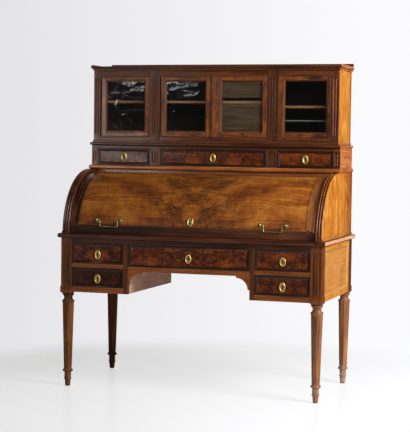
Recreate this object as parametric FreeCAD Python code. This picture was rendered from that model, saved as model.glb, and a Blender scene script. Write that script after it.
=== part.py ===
import FreeCAD, Part
import math
import os

# Cylinder desk: a kneehole base on turned legs, a quarter-round cylinder that swings back over
# the writing level, a row of small drawers and a glazed cabinet on top.
# Millimetres, +Z up, front towards -Y, origin on the floor under the middle of the whole desk.

Vector = FreeCAD.Vector

# Clearances and cuts
OVERRUN = 1.0
RUN_GAP = 0.3
FRONT_GAP = 1.0
PIN_GAP = 0.05
SEAT_GAP = 0.2

# Base case
CASE_WIDTH = 1362.0
CASE_DEPTH = 673.0
CASE_UNDERSIDE = 488.0
BOTTOM_RAIL_HEIGHT = 28.0
LOWER_DRAWER_HEIGHT = 99.0
MIDDLE_RAIL_HEIGHT = 20.0
UPPER_DRAWER_HEIGHT = 106.0
TOP_RAIL_HEIGHT = 22.0
CENTRE_DRAWER_HEIGHT = 113.0
CENTRE_RAIL_HEIGHT = 24.0
RAIL_DEPTH = 24.0
RAIL_SETBACK = 2.0
KNEEHOLE_WIDTH = 636.0
DIVIDER_WIDTH = 25.0
INNER_SIDE_THICKNESS = 16.0
BACK_BOARD_THICKNESS = 12.0
BACK_BOARD_SETBACK = 6.0
DUST_BOARD_THICKNESS = 16.0
CENTRE_RUNNER_WIDTH = 20.0
BED_THICKNESS = 14.0

# Base sides
SIDE_SETBACK = 2.0
SIDE_THICKNESS = 22.0
SIDE_RAIL_HEIGHT = 28.0
SIDE_STILE_WIDTH = 25.0
SIDE_FIELD_SINK = 8.0
SIDE_FIELD_THICKNESS = 8.0
SIDE_MOULDING_WIDTH = 12.0

# Kneehole brackets
BRACKET_WIDTH = 69.0
BRACKET_DROP = 67.0
BRACKET_STEP = 9.0

# Legs
POST_SIZE = 58.0
BLOCK_PROUD = 3.0
BLOCK_DROP = 10.0
BLOCK_CHAMFER = 8.0
FOOT_TIP_RADIUS = 13.0
FOOT_TIP_ROUND = 5.0
FOOT_CONE_RADIUS = 16.0
FOOT_CONE_HEIGHT = 36.0
FOOT_BEAD_RADIUS = 19.5
FOOT_BEAD_HEIGHT = 7.0
FOOT_NECK_RADIUS = 17.0
FOOT_HEIGHT = 74.0
RING_RADIUS = 26.0
RING_HEIGHT = 14.0
SHAFT_LOW_RADIUS = 20.0
SHAFT_HIGH_RADIUS = 29.0
ASTRAGAL_BULGE = 2.5
ASTRAGAL_HEIGHT = 14.0
NECK_RADIUS = 21.5
NECK_END_RADIUS = 26.0
NECK_HEIGHT = 24.0
NECK_RING_RADIUS = 29.5
NECK_RING_HEIGHT = 10.0
SHAFT_FLUTES = 12
SHAFT_FLUTE_LOW_RADIUS = 3.4
SHAFT_FLUTE_HIGH_RADIUS = 5.0
SHAFT_FLUTE_MARGIN = 12.0
POST_FLUTES = 3
POST_FLUTE_RADIUS = 4.5
POST_FLUTE_PITCH = 15.0
POST_FLUTE_LOW_MARGIN = 12.0
POST_FLUTE_HIGH_MARGIN = 28.0

# Writing level
EDGE_THICKNESS = 24.0
EDGE_OVERHANG = 15.0
EDGE_ROUND = 10.0
SLIDE_BACK_ROOM = 15.0
SLIDE_LIPPING_DEPTH = 30.0
SLIDE_GUIDE_WIDTH = 10.0
SLIDE_SIDE_GAP = 1.0
LEATHER_MARGIN = 60.0
LEATHER_LENGTH = 300.0
LEATHER_THICKNESS = 1.5
REAR_BOARD_DEPTH = 120.0

# Cylinder and its cheeks
CHEEK_RADIUS = 322.0
CHEEK_INSET = 4.0
CHEEK_THICKNESS = 37.0
CHEEK_REEDS = 3
CHEEK_REED_RADIUS = 5.5
SKIRTING_HEIGHT = 10.0
SHELL_RECESS = 17.0
SHELL_END_GAP = 1.5
FACING_THICKNESS = 3.0
FIELD_SINK = 1.0
CORE_THICKNESS = 19.0
CORE_STAVES = 12
SHELL_START_DEG = 0.2
SHELL_SWEEP_DEG = 104.3
BORDER_WIDTH = 44.0
BORDER_LOW_DEG = 8.6
ARM_THICKNESS = 16.0
ARM_OFFSET = 6.0
ARM_START_DEG = 1.0
ARM_SWEEP_DEG = 76.0
HUB_RADIUS = 20.0
PIVOT_RADIUS = 8.0
PIVOT_PLATE_THICKNESS = 4.0
PIVOT_PLATE_LENGTH = 60.0
PIVOT_PLATE_HEIGHT = 40.0

# Brass on the cylinder
HANDLE_INSET = 210.5
HANDLE_RISE = 70.0
HANDLE_POST_SPACING = 131.0
HANDLE_STANDOFF = 14.0
ROSETTE_RADIUS = 12.0
ROSETTE_THICKNESS = 3.0
POST_STEM_RADIUS = 4.0
POST_HEAD_RADIUS = 7.5
BAIL_WIDTH = 94.0
BAIL_DROP = 32.0
BAIL_ROD_RADIUS = 3.0
BAIL_BEND_RADIUS = 6.0
BAIL_END_LENGTH = 3.0
ESCUTCHEON_WIDTH = 32.0
ESCUTCHEON_HEIGHT = 46.0
ESCUTCHEON_THICKNESS = 2.5
KEYHOLE_RADIUS = 3.2
KEYHOLE_SLOT_WIDTH = 3.4
KEYHOLE_SLOT_LENGTH = 11.0
CYLINDER_LOCK_RISE = 74.0

# Drawers
DRAWER_FRONT_THICKNESS = 22.0
DRAWER_SIDE_THICKNESS = 12.0
DRAWER_BOTTOM_THICKNESS = 7.0
DRAWER_BOTTOM_RISE = 6.0
DRAWER_HEAD_ROOM = 10.0
DRAWER_BORDER = 7.0
DRAWER_BEVEL = 9.0
DRAWER_FIELD_SINK = 4.0
BASE_DRAWER_BACK_ROOM = 93.0
SMALL_DRAWER_BACK_ROOM = 19.0
PIGEONHOLE_DRAWER_BACK_ROOM = 24.0
LOCK_WIDTH = 52.0
LOCK_HEIGHT = 36.0
LOCK_THICKNESS = 9.0
ESCUTCHEON_DROP = 6.0
KNOB_RADIUS = 7.0
KNOB_STEM_RADIUS = 3.5
KNOB_STEM_LENGTH = 8.0

# Pigeonhole case inside the cylinder
PIGEONHOLE_FRONT_DEPTH = 335.0
PIGEONHOLE_DEPTH = 190.0
PIGEONHOLE_HEIGHT = 172.0
PIGEONHOLE_BOARD = 12.0
PIGEONHOLE_BACK = 6.0
PIGEONHOLE_BAY_HALF = 200.0
PIGEONHOLE_DRAWER_HEIGHT = 58.0
PIGEONHOLE_END_INSET = 4.0

# Board over the cylinder
STAGE_THICKNESS = 22.0
STAGE_SETBACK = 33.0
STAGE_ROUND = 8.0
FASCIA_SETBACK = 16.0
FASCIA_DEPTH = 20.0
FASCIA_GAP = 2.0

# Small drawer case
UPPER_BACK_SETBACK = 6.0
SMALL_CASE_INSET = 7.0
SMALL_CASE_SETBACK = 25.0
SMALL_DRAWER_SETBACK = 1.0
SMALL_DRAWER_HEIGHT = 89.0
SMALL_CASE_TOP_THICKNESS = 16.0
SMALL_CASE_END_THICKNESS = 20.0
SMALL_CORNER_WIDTH = 33.0
SMALL_DIVIDER_CENTRE = 317.0
SMALL_DIVIDER_WIDTH = 56.0
SMALL_PILASTER_DEPTH = 22.0
PARTITION_THICKNESS = 14.0

# Glazed cabinet
CABINET_INSET = 17.0
CABINET_SETBACK = 23.0
NOSE_HEIGHT = 14.0
NOSE_OVERHANG = 15.0
NOSE_ROUND = 5.0
PLINTH_HEIGHT = 12.0
PLINTH_OVERHANG = 4.0
CABINET_RAIL_HEIGHT = 21.0
DOOR_OPENING_HEIGHT = 315.0
FRIEZE_HEIGHT = 32.0
CORNICE_BED_HEIGHT = 10.0
CORNICE_BED_OVERHANG = 6.0
CORNICE_CROWN_HEIGHT = 10.0
CORNICE_CROWN_OVERHANG = 14.0
CORNICE_ROUND = 3.0
CABINET_SIDE_THICKNESS = 18.0
CABINET_FRAME_DEPTH = 24.0
CORNER_PILASTER_WIDTH = 37.0
MIDDLE_PILASTER_CENTRE = 320.0
MIDDLE_PILASTER_WIDTH = 54.0
FRIEZE_SETBACK = 2.0
PILASTER_FLUTE_RADIUS = 4.0
PILASTER_FLUTE_PITCH = 13.0
PILASTER_FLUTE_MARGIN = 12.0
CORNER_FLUTES = 2
MIDDLE_FLUTES = 3
SHELF_THICKNESS = 12.0
SHELF_FRONT_GAP = 24.0
MAIN_SHELF_RISE = 198.0
RIGHT_SHELF_RISES = (104.0, 175.0)
GALLERY_THICKNESS = 10.0
GALLERY_BACK_HEIGHT = 24.0
GALLERY_SIDE_HEIGHT = 7.0

# Glazed doors
DOOR_SETBACK = 1.0
DOOR_THICKNESS = 22.0
DOOR_STILE_WIDTH = 33.0
MEETING_STILE_WIDTH = 44.0
DOOR_LOW_RAIL_HEIGHT = 30.0
DOOR_HIGH_RAIL_HEIGHT = 26.0
DOOR_END_GAP = 1.3
DOOR_BEVEL = 6.0
DOOR_BEVEL_DEPTH = 6.0
GLASS_THICKNESS = 3.0
GLASS_SETBACK = 9.0
ASTRAGAL_BEAD_WIDTH = 14.0
ASTRAGAL_BEAD_PROUD = 5.0
HINGE_INSET = 8.0
HINGE_PIN_RADIUS = 4.0
HINGE_PIN_LENGTH = 10.0
HINGE_PLATE_SIZE = 15.0

# Angles and shares
FULL_TURN_DEG = 360.0
QUARTER_DEG = 90.0
HALF_SHARE = 0.5
DIAGONAL_SHARE = math.sqrt(HALF_SHARE)

# Sides and ends
SIDES = {"left": -1, "right": 1}
ENDS = {"front": -1, "back": 1}

# Levels, from the floor up
LOWER_DRAWER_Z = CASE_UNDERSIDE + BOTTOM_RAIL_HEIGHT
MIDDLE_RAIL_Z = LOWER_DRAWER_Z + LOWER_DRAWER_HEIGHT
UPPER_DRAWER_Z = MIDDLE_RAIL_Z + MIDDLE_RAIL_HEIGHT
TOP_RAIL_Z = UPPER_DRAWER_Z + UPPER_DRAWER_HEIGHT
CASE_TOP = TOP_RAIL_Z + TOP_RAIL_HEIGHT
BED_Z = CASE_TOP - BED_THICKNESS
CENTRE_DRAWER_Z = TOP_RAIL_Z - CENTRE_DRAWER_HEIGHT
CENTRE_RAIL_Z = CENTRE_DRAWER_Z - CENTRE_RAIL_HEIGHT
DESK_TOP = CASE_TOP + EDGE_THICKNESS
STAGE_Z = DESK_TOP + CHEEK_RADIUS
SMALL_CASE_Z = STAGE_Z + STAGE_THICKNESS
SMALL_TOP_Z = SMALL_CASE_Z + SMALL_DRAWER_HEIGHT
NOSE_Z = SMALL_TOP_Z + SMALL_CASE_TOP_THICKNESS
PLINTH_Z = NOSE_Z + NOSE_HEIGHT
CABINET_Z = PLINTH_Z + PLINTH_HEIGHT
DOOR_Z = CABINET_Z + CABINET_RAIL_HEIGHT
FRIEZE_Z = DOOR_Z + DOOR_OPENING_HEIGHT
CORNICE_Z = FRIEZE_Z + FRIEZE_HEIGHT
CROWN_Z = CORNICE_Z + CORNICE_BED_HEIGHT
ROOF_Z = CROWN_Z + CORNICE_CROWN_HEIGHT

# Places across, from the middle plane
CASE_HALF = CASE_WIDTH / 2
POST_INNER = CASE_HALF - POST_SIZE
KNEEHOLE_HALF = KNEEHOLE_WIDTH / 2
DIVIDER_OUTER = KNEEHOLE_HALF + DIVIDER_WIDTH
INNER_SIDE_OUTER = KNEEHOLE_HALF + INNER_SIDE_THICKNESS
SIDE_OUTER = CASE_HALF - SIDE_SETBACK
SIDE_INNER = SIDE_OUTER - SIDE_THICKNESS
CHEEK_OUTER = CASE_HALF - CHEEK_INSET
CHEEK_INNER = CHEEK_OUTER - CHEEK_THICKNESS
SHELL_HALF = CHEEK_INNER - SHELL_END_GAP
HANDLE_CENTRE = SHELL_HALF - HANDLE_INSET
ARM_OUTER = CHEEK_INNER - ARM_OFFSET
ARM_INNER = ARM_OUTER - ARM_THICKNESS
GUIDE_OUTER = ARM_INNER - RUN_GAP - FRONT_GAP
GUIDE_INNER = GUIDE_OUTER - SLIDE_GUIDE_WIDTH
SLIDE_HALF = GUIDE_INNER - SLIDE_SIDE_GAP
SMALL_CASE_HALF = CASE_HALF - SMALL_CASE_INSET
CABINET_HALF = CASE_HALF - CABINET_INSET
CABINET_INNER = CABINET_HALF - CABINET_SIDE_THICKNESS
CORNER_INNER = CABINET_HALF - CORNER_PILASTER_WIDTH

# Places from front to back
FRONT = -CASE_DEPTH / 2
BACK = CASE_DEPTH / 2
RAIL_FRONT = FRONT + RAIL_SETBACK
RAIL_BACK = RAIL_FRONT + RAIL_DEPTH
BACK_BOARD_Y = BACK - BACK_BOARD_SETBACK - BACK_BOARD_THICKNESS
REAR_BOARD_Y = BACK_BOARD_Y - REAR_BOARD_DEPTH
PIVOT_Y = FRONT + CHEEK_RADIUS
SHELL_RADIUS = CHEEK_RADIUS - SHELL_RECESS
CORE_RADIUS = SHELL_RADIUS - FACING_THICKNESS
CORE_INNER_RADIUS = CORE_RADIUS - CORE_THICKNESS
UPPER_BACK = BACK - UPPER_BACK_SETBACK
UPPER_BOARD_Y = UPPER_BACK - BACK_BOARD_THICKNESS
STAGE_FRONT = PIVOT_Y + STAGE_SETBACK
SMALL_FRONT = STAGE_FRONT + SMALL_CASE_SETBACK
CABINET_FRONT = STAGE_FRONT + CABINET_SETBACK
CABINET_FRAME_BACK = CABINET_FRONT + CABINET_FRAME_DEPTH
PIGEONHOLE_FRONT = FRONT + PIGEONHOLE_FRONT_DEPTH
PIGEONHOLE_END = PIGEONHOLE_FRONT + PIGEONHOLE_DEPTH
PIGEONHOLE_HALF = GUIDE_OUTER - PIGEONHOLE_END_INSET

os.makedirs("parts", exist_ok=True)


def save(name, solids):
    """Writes one node, which may be several separate solids."""
    Part.makeCompound(solids).exportStep("parts/" + name + ".step")


def board(x, y, z):
    """Straight board between the low and high end of each pair."""
    return Part.makeBox(x[1] - x[0], y[1] - y[0], z[1] - z[0], Vector(x[0], y[0], z[0]))


def sided(side, near, far):
    """Pair of places across on one side of the middle plane, low end first."""
    return tuple(sorted((side * near, side * far)))


def span(low, length):
    """Pair made of a low end and a length."""
    return (low, low + length)


def outline(start, steps):
    """Closed face; a step of one point is straight and a step of two is an arc through the first."""
    edges = []
    here = start
    for step in steps:
        if len(step) == 2:
            edges.append(Part.Arc(here, step[0], step[1]).toShape())
        else:
            edges.append(Part.LineSegment(here, step[0]).toShape())
        here = step[-1]
    edges.append(Part.LineSegment(here, start).toShape())
    return Part.Face(Part.Wire(edges))


def flute_cutter(low_radius, high_radius, low, high):
    """Round-ended rod between two points, which cuts one flute."""
    length = low.distanceToPoint(high)
    low_mid = low_radius * DIAGONAL_SHARE
    high_mid = high_radius * DIAGONAL_SHARE
    half = outline(Vector(0, 0, -low_radius), [
        (Vector(low_mid, 0, -low_mid), Vector(low_radius, 0, 0)),
        (Vector(high_radius, 0, length),),
        (Vector(high_mid, 0, length + high_mid), Vector(0, 0, length + high_radius)),
    ])
    rod = half.revolve(Vector(0, 0, 0), Vector(0, 0, 1), FULL_TURN_DEG)
    rod.Placement = FreeCAD.Placement(low, FreeCAD.Rotation(Vector(0, 0, 1), high - low))
    return rod


def flute_row(centre_x, face_y, z, count, pitch, radius):
    """Cutters for a row of upright flutes on a face that looks along Y."""
    cutters = []
    for index in range(count):
        x = centre_x + (index - (count - 1) * HALF_SHARE) * pitch
        low = Vector(x, face_y, z[0] + radius)
        high = Vector(x, face_y, z[1] - radius)
        cutters.append(flute_cutter(radius, radius, low, high))
    return cutters


def rectangle(x, y, z):
    """Upright rectangle at one depth."""
    corners = [
        Vector(x[0], y, z[0]),
        Vector(x[1], y, z[0]),
        Vector(x[1], y, z[1]),
        Vector(x[0], y, z[1]),
    ]
    return Part.makePolygon(corners + corners[:1])


def bevelled_pocket(x, z, face_y, bevel, depth):
    """Cutter that sinks a field behind a bevel into a face that looks along -Y."""
    inner_x = (x[0] + bevel, x[1] - bevel)
    inner_z = (z[0] + bevel, z[1] - bevel)
    wires = [rectangle(x, face_y, z), rectangle(inner_x, face_y + depth, inner_z)]
    return Part.makeLoft(wires, True, True)


def nosed_board(x, y, z, radius, faces):
    """Board with its upper and lower arrises rounded on the named outer faces."""
    solid = board(x, y, z)
    places = {"left": (0, x[0]), "right": (0, x[1]), "front": (1, y[0]), "back": (1, y[1])}
    edges = []
    for edge in solid.Edges:
        centre = edge.CenterOfMass
        level = not math.isclose(centre.z, (z[0] + z[1]) / 2)
        for axis, value in (places[face] for face in faces):
            if level and math.isclose(centre[axis], value):
                edges.append(edge)
    return solid.makeFillet(radius, edges)


def around_pivot(radius, rise_deg, x=0):
    """Point at a radius from the cylinder's axis, turned up from straight ahead."""
    rise = math.radians(rise_deg)
    return Vector(x, PIVOT_Y - radius * math.cos(rise), DESK_TOP + radius * math.sin(rise))


def curved_board(x, radii, start_deg, sweep_deg):
    """Board bent round the cylinder's axis."""
    corners = [
        Vector(x[0], PIVOT_Y - radii[1], DESK_TOP),
        Vector(x[1], PIVOT_Y - radii[1], DESK_TOP),
        Vector(x[1], PIVOT_Y - radii[0], DESK_TOP),
        Vector(x[0], PIVOT_Y - radii[0], DESK_TOP),
    ]
    section = Part.Face(Part.makePolygon(corners + corners[:1]))
    axis_point = Vector(0, PIVOT_Y, DESK_TOP)
    solid = section.revolve(axis_point, Vector(-1, 0, 0), sweep_deg)
    solid.rotate(axis_point, Vector(-1, 0, 0), start_deg)
    return solid


def leg(side, end):
    """Leg, block and post in one piece, at one corner of the base."""
    centre = Vector(side * (CASE_HALF - POST_SIZE / 2), end * (BACK - POST_SIZE / 2), 0)
    block_z = CASE_UNDERSIDE - BLOCK_DROP
    shaft_z = FOOT_HEIGHT + RING_HEIGHT
    neck_ring_z = block_z - NECK_RING_HEIGHT
    neck_z = neck_ring_z - NECK_HEIGHT
    shaft_top = neck_z - ASTRAGAL_HEIGHT
    tip_flat = FOOT_TIP_RADIUS - FOOT_TIP_ROUND
    tip_mid = Vector(tip_flat + FOOT_TIP_ROUND * DIAGONAL_SHARE, 0, FOOT_TIP_ROUND * (1 - DIAGONAL_SHARE))
    bead_mid = Vector(FOOT_BEAD_RADIUS, 0, FOOT_CONE_HEIGHT + FOOT_BEAD_HEIGHT / 2)
    ring_mid = Vector(RING_RADIUS, 0, FOOT_HEIGHT + RING_HEIGHT / 2)
    astragal_mid = Vector(SHAFT_HIGH_RADIUS + ASTRAGAL_BULGE, 0, shaft_top + ASTRAGAL_HEIGHT / 2)
    neck_mid = Vector(NECK_RADIUS, 0, neck_z + NECK_HEIGHT / 2)
    neck_ring_mid = Vector(NECK_RING_RADIUS, 0, neck_ring_z + NECK_RING_HEIGHT / 2)
    turned = outline(Vector(0, 0, 0), [
        (Vector(tip_flat, 0, 0),),
        (tip_mid, Vector(FOOT_TIP_RADIUS, 0, FOOT_TIP_ROUND)),
        (Vector(FOOT_CONE_RADIUS, 0, FOOT_CONE_HEIGHT),),
        (bead_mid, Vector(FOOT_NECK_RADIUS, 0, FOOT_CONE_HEIGHT + FOOT_BEAD_HEIGHT)),
        (Vector(FOOT_NECK_RADIUS, 0, FOOT_HEIGHT),),
        (Vector(SHAFT_LOW_RADIUS, 0, FOOT_HEIGHT),),
        (ring_mid, Vector(SHAFT_LOW_RADIUS, 0, shaft_z)),
        (Vector(SHAFT_HIGH_RADIUS, 0, shaft_top),),
        (astragal_mid, Vector(SHAFT_HIGH_RADIUS, 0, neck_z)),
        (Vector(NECK_END_RADIUS, 0, neck_z),),
        (neck_mid, Vector(NECK_END_RADIUS, 0, neck_ring_z)),
        (neck_ring_mid, Vector(NECK_END_RADIUS, 0, block_z)),
        (Vector(0, 0, block_z),),
    ]).revolve(Vector(0, 0, 0), Vector(0, 0, 1), FULL_TURN_DEG)

    low_z = shaft_z + SHAFT_FLUTE_MARGIN
    high_z = shaft_top - SHAFT_FLUTE_MARGIN
    slope = (SHAFT_HIGH_RADIUS - SHAFT_LOW_RADIUS) / (shaft_top - shaft_z)
    low = Vector(SHAFT_LOW_RADIUS + slope * (low_z - shaft_z), 0, low_z)
    high = Vector(SHAFT_LOW_RADIUS + slope * (high_z - shaft_z), 0, high_z)
    flutes = []
    for index in range(SHAFT_FLUTES):
        flute = flute_cutter(SHAFT_FLUTE_LOW_RADIUS, SHAFT_FLUTE_HIGH_RADIUS, low, high)
        flute.rotate(Vector(0, 0, 0), Vector(0, 0, 1), index * FULL_TURN_DEG / SHAFT_FLUTES)
        flutes.append(flute)
    turned = turned.cut(flutes)
    turned.translate(centre)

    block_x = sided(side, POST_INNER, CASE_HALF + BLOCK_PROUD)
    block_y = tuple(sorted((end * (BACK - POST_SIZE), end * (BACK + BLOCK_PROUD))))
    block = board(block_x, block_y, (block_z, LOWER_DRAWER_Z))
    lower_edges = [edge for edge in block.Edges if math.isclose(edge.CenterOfMass.z, block_z)]
    block = block.makeChamfer(BLOCK_CHAMFER, lower_edges)
    post_x = sided(side, POST_INNER, CASE_HALF)
    post_y = tuple(sorted((end * (BACK - POST_SIZE), end * BACK)))
    post = board(post_x, post_y, (LOWER_DRAWER_Z, CASE_TOP))
    flute_z = (LOWER_DRAWER_Z + POST_FLUTE_LOW_MARGIN, CASE_TOP - POST_FLUTE_HIGH_MARGIN)
    cutters = flute_row(centre.x, end * BACK, flute_z, POST_FLUTES, POST_FLUTE_PITCH, POST_FLUTE_RADIUS)
    outward = flute_row(0, side * CASE_HALF, flute_z, POST_FLUTES, POST_FLUTE_PITCH, POST_FLUTE_RADIUS)
    for cutter in outward:
        cutter.rotate(Vector(0, 0, 0), Vector(0, 0, 1), -QUARTER_DEG)
        cutter.translate(Vector(0, centre.y, 0))
    post = post.cut(cutters + outward)
    return turned.fuse([block, post])


def base_front_frame():
    """Rails and dividers round the five base drawers."""
    y = (RAIL_FRONT, RAIL_BACK)
    pieces = [
        board((-POST_INNER, POST_INNER), y, (TOP_RAIL_Z, CASE_TOP)),
        board((-KNEEHOLE_HALF, KNEEHOLE_HALF), y, (CENTRE_RAIL_Z, CENTRE_DRAWER_Z)),
    ]
    for side in SIDES.values():
        pedestal = sided(side, DIVIDER_OUTER, POST_INNER)
        pieces.append(board(sided(side, KNEEHOLE_HALF, DIVIDER_OUTER), y, (CASE_UNDERSIDE, TOP_RAIL_Z)))
        pieces.append(board(pedestal, y, (CASE_UNDERSIDE, LOWER_DRAWER_Z)))
        pieces.append(board(pedestal, y, (MIDDLE_RAIL_Z, UPPER_DRAWER_Z)))
    return pieces


def base_side(side):
    """Frame, sunk field and moulding of one end of the base."""
    x = sided(side, SIDE_INNER, SIDE_OUTER)
    y = (FRONT + POST_SIZE, BACK - POST_SIZE)
    field_y = (y[0] + SIDE_STILE_WIDTH, y[1] - SIDE_STILE_WIDTH)
    field_z = (CASE_UNDERSIDE + SIDE_RAIL_HEIGHT, CASE_TOP - SIDE_RAIL_HEIGHT)
    field_outer = SIDE_OUTER - SIDE_FIELD_SINK
    field_x = sided(side, field_outer - SIDE_FIELD_THICKNESS, field_outer)
    pieces = [
        board(x, y, (CASE_UNDERSIDE, field_z[0])),
        board(x, y, (field_z[1], CASE_TOP)),
        board(x, (y[0], field_y[0]), field_z),
        board(x, (field_y[1], y[1]), field_z),
        board(field_x, field_y, field_z),
    ]
    moulding = board(sided(side, field_outer, SIDE_OUTER), field_y, field_z)
    wires = []
    for place, inset in ((SIDE_OUTER, 0), (field_outer, SIDE_MOULDING_WIDTH)):
        corners = [
            Vector(side * place, field_y[0] + inset, field_z[0] + inset),
            Vector(side * place, field_y[1] - inset, field_z[0] + inset),
            Vector(side * place, field_y[1] - inset, field_z[1] - inset),
            Vector(side * place, field_y[0] + inset, field_z[1] - inset),
        ]
        wires.append(Part.makePolygon(corners + corners[:1]))
    pieces.append(moulding.cut(Part.makeLoft(wires, True, True)))
    return pieces


def base_back_panels():
    """Back boards of the two pedestals and of the centre drawer."""
    y = span(BACK_BOARD_Y, BACK_BOARD_THICKNESS)
    pieces = [board((-KNEEHOLE_HALF, KNEEHOLE_HALF), y, (CENTRE_RAIL_Z, CASE_TOP))]
    for side in SIDES.values():
        pieces.append(board(sided(side, KNEEHOLE_HALF, POST_INNER), y, (CASE_UNDERSIDE, CASE_TOP)))
    return pieces


def kneehole_bracket(side):
    """Cut bracket in a front corner of the kneehole: a hollow quarter round between two steps."""
    top = CENTRE_RAIL_Z
    inner = KNEEHOLE_HALF - BRACKET_WIDTH
    low = top - BRACKET_DROP
    width = BRACKET_WIDTH - BRACKET_STEP
    height = BRACKET_DROP - BRACKET_STEP
    mid_x = inner + width * DIAGONAL_SHARE
    mid_z = low + height * DIAGONAL_SHARE
    face = outline(Vector(side * KNEEHOLE_HALF, RAIL_FRONT, top), [
        (Vector(side * inner, RAIL_FRONT, top),),
        (Vector(side * inner, RAIL_FRONT, top - BRACKET_STEP),),
        (
            Vector(side * mid_x, RAIL_FRONT, mid_z),
            Vector(side * (inner + width), RAIL_FRONT, low),
        ),
        (Vector(side * KNEEHOLE_HALF, RAIL_FRONT, low),),
    ])
    return face.extrude(Vector(0, RAIL_DEPTH, 0))


def notched_board(x, z):
    """Board that fills one case level behind the rails, cut out round the posts."""
    whole = board(x, (RAIL_BACK, BACK_BOARD_Y), z)
    posts = []
    for side in SIDES.values():
        for end in ENDS.values():
            post_y = tuple(sorted((end * (BACK - POST_SIZE), end * (BACK + OVERRUN))))
            posts.append(board(sided(side, POST_INNER, CASE_HALF), post_y, z))
    return whole.cut(posts)


def drawer_runners():
    """Pedestal bottoms, dust boards under the upper drawers and the centre drawer's two runners."""
    pieces = []
    for side in SIDES.values():
        pedestal = sided(side, INNER_SIDE_OUTER, SIDE_INNER)
        pieces.append(notched_board(pedestal, (LOWER_DRAWER_Z - DUST_BOARD_THICKNESS, LOWER_DRAWER_Z)))
        pieces.append(notched_board(pedestal, (UPPER_DRAWER_Z - DUST_BOARD_THICKNESS, UPPER_DRAWER_Z)))
        runner = sided(side, KNEEHOLE_HALF - CENTRE_RUNNER_WIDTH, KNEEHOLE_HALF)
        runner_z = (CENTRE_DRAWER_Z - DUST_BOARD_THICKNESS, CENTRE_DRAWER_Z)
        pieces.append(board(runner, (RAIL_BACK, BACK_BOARD_Y), runner_z))
    return pieces


def desk_bed():
    """Bed under the writing slide, the slide's two guides and the fixed board behind it."""
    rear_y = (REAR_BOARD_Y, BACK_BOARD_Y)
    level = (CASE_TOP, DESK_TOP)
    pieces = [
        notched_board((-SIDE_INNER, SIDE_INNER), (BED_Z, CASE_TOP)),
        board((-GUIDE_INNER, GUIDE_INNER), rear_y, level),
    ]
    guide_y = (FRONT - EDGE_OVERHANG + SLIDE_LIPPING_DEPTH + FRONT_GAP, BACK_BOARD_Y)
    for side in SIDES.values():
        pieces.append(board(sided(side, GUIDE_INNER, GUIDE_OUTER), guide_y, level))
    return pieces


def desk_edge_moulding():
    """Round-nosed boards at both ends and at the back of the writing level."""
    z = (CASE_TOP, DESK_TOP)
    outer = CASE_HALF + EDGE_OVERHANG
    y = (FRONT - EDGE_OVERHANG, BACK + EDGE_OVERHANG)
    pieces = [nosed_board((-CHEEK_INNER, CHEEK_INNER), (BACK_BOARD_Y, y[1]), z, EDGE_ROUND, ["back"])]
    for name, side in SIDES.items():
        faces = [name, "front", "back"]
        pieces.append(nosed_board(sided(side, CHEEK_INNER, outer), y, z, EDGE_ROUND, faces))
    return pieces


def writing_slide():
    """Pull-out board with a sunk place for the leather, and the lipping that is the front moulding."""
    lipping_half = CHEEK_INNER - FRONT_GAP
    lipping_y = span(FRONT - EDGE_OVERHANG, SLIDE_LIPPING_DEPTH)
    z = (CASE_TOP + RUN_GAP, DESK_TOP - RUN_GAP)
    panel = board((-SLIDE_HALF, SLIDE_HALF), (lipping_y[1], REAR_BOARD_Y - SLIDE_BACK_ROOM), z)
    lipping = nosed_board((-lipping_half, lipping_half), lipping_y, z, EDGE_ROUND, ["front"])
    leather_y = span(lipping_y[1] + LEATHER_MARGIN, LEATHER_LENGTH)
    leather_half = SLIDE_HALF - LEATHER_MARGIN
    leather = board((-leather_half, leather_half), leather_y, (z[1] - LEATHER_THICKNESS, z[1]))
    return [panel.cut(leather), lipping], [leather]


def cheek(side):
    """Cylinder cheek with a reeded curved edge, and the skirting along its foot."""
    plate_radius = CHEEK_RADIUS - CHEEK_REED_RADIUS
    start = around_pivot(plate_radius, 0, side * CHEEK_INNER)
    face = outline(start, [
        (
            around_pivot(plate_radius, QUARTER_DEG / 2, start.x),
            around_pivot(plate_radius, QUARTER_DEG, start.x),
        ),
        (Vector(start.x, PIVOT_Y, STAGE_Z),),
        (Vector(start.x, UPPER_BACK, STAGE_Z),),
        (Vector(start.x, UPPER_BACK, DESK_TOP),),
    ])
    plate = face.extrude(Vector(side * CHEEK_THICKNESS, 0, 0))
    reeds = []
    for index in range(CHEEK_REEDS):
        x = side * (CHEEK_INNER + CHEEK_THICKNESS * (index + HALF_SHARE) / CHEEK_REEDS)
        circle = Part.makeCircle(CHEEK_REED_RADIUS, around_pivot(plate_radius, 0, x), Vector(0, 0, 1))
        section = Part.Face(Part.Wire(circle))
        reeds.append(section.revolve(Vector(0, PIVOT_Y, DESK_TOP), Vector(-1, 0, 0), QUARTER_DEG))
    skirting_x = sided(side, CHEEK_OUTER, CASE_HALF)
    skirting = board(skirting_x, (start.y, UPPER_BACK), span(DESK_TOP, SKIRTING_HEIGHT))
    return [plate.fuse(reeds), skirting]


def upper_back_boards():
    """Back boards behind the cylinder, the small drawers and the glazed cabinet."""
    y = (UPPER_BOARD_Y, UPPER_BACK)
    small_half = SMALL_CASE_HALF - SMALL_CASE_END_THICKNESS
    return [
        board((-CHEEK_INNER, CHEEK_INNER), y, (DESK_TOP, STAGE_Z)),
        board((-small_half, small_half), y, (SMALL_CASE_Z, SMALL_TOP_Z)),
        board((-CABINET_INNER, CABINET_INNER), y, (CABINET_Z, CORNICE_Z)),
    ]


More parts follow.
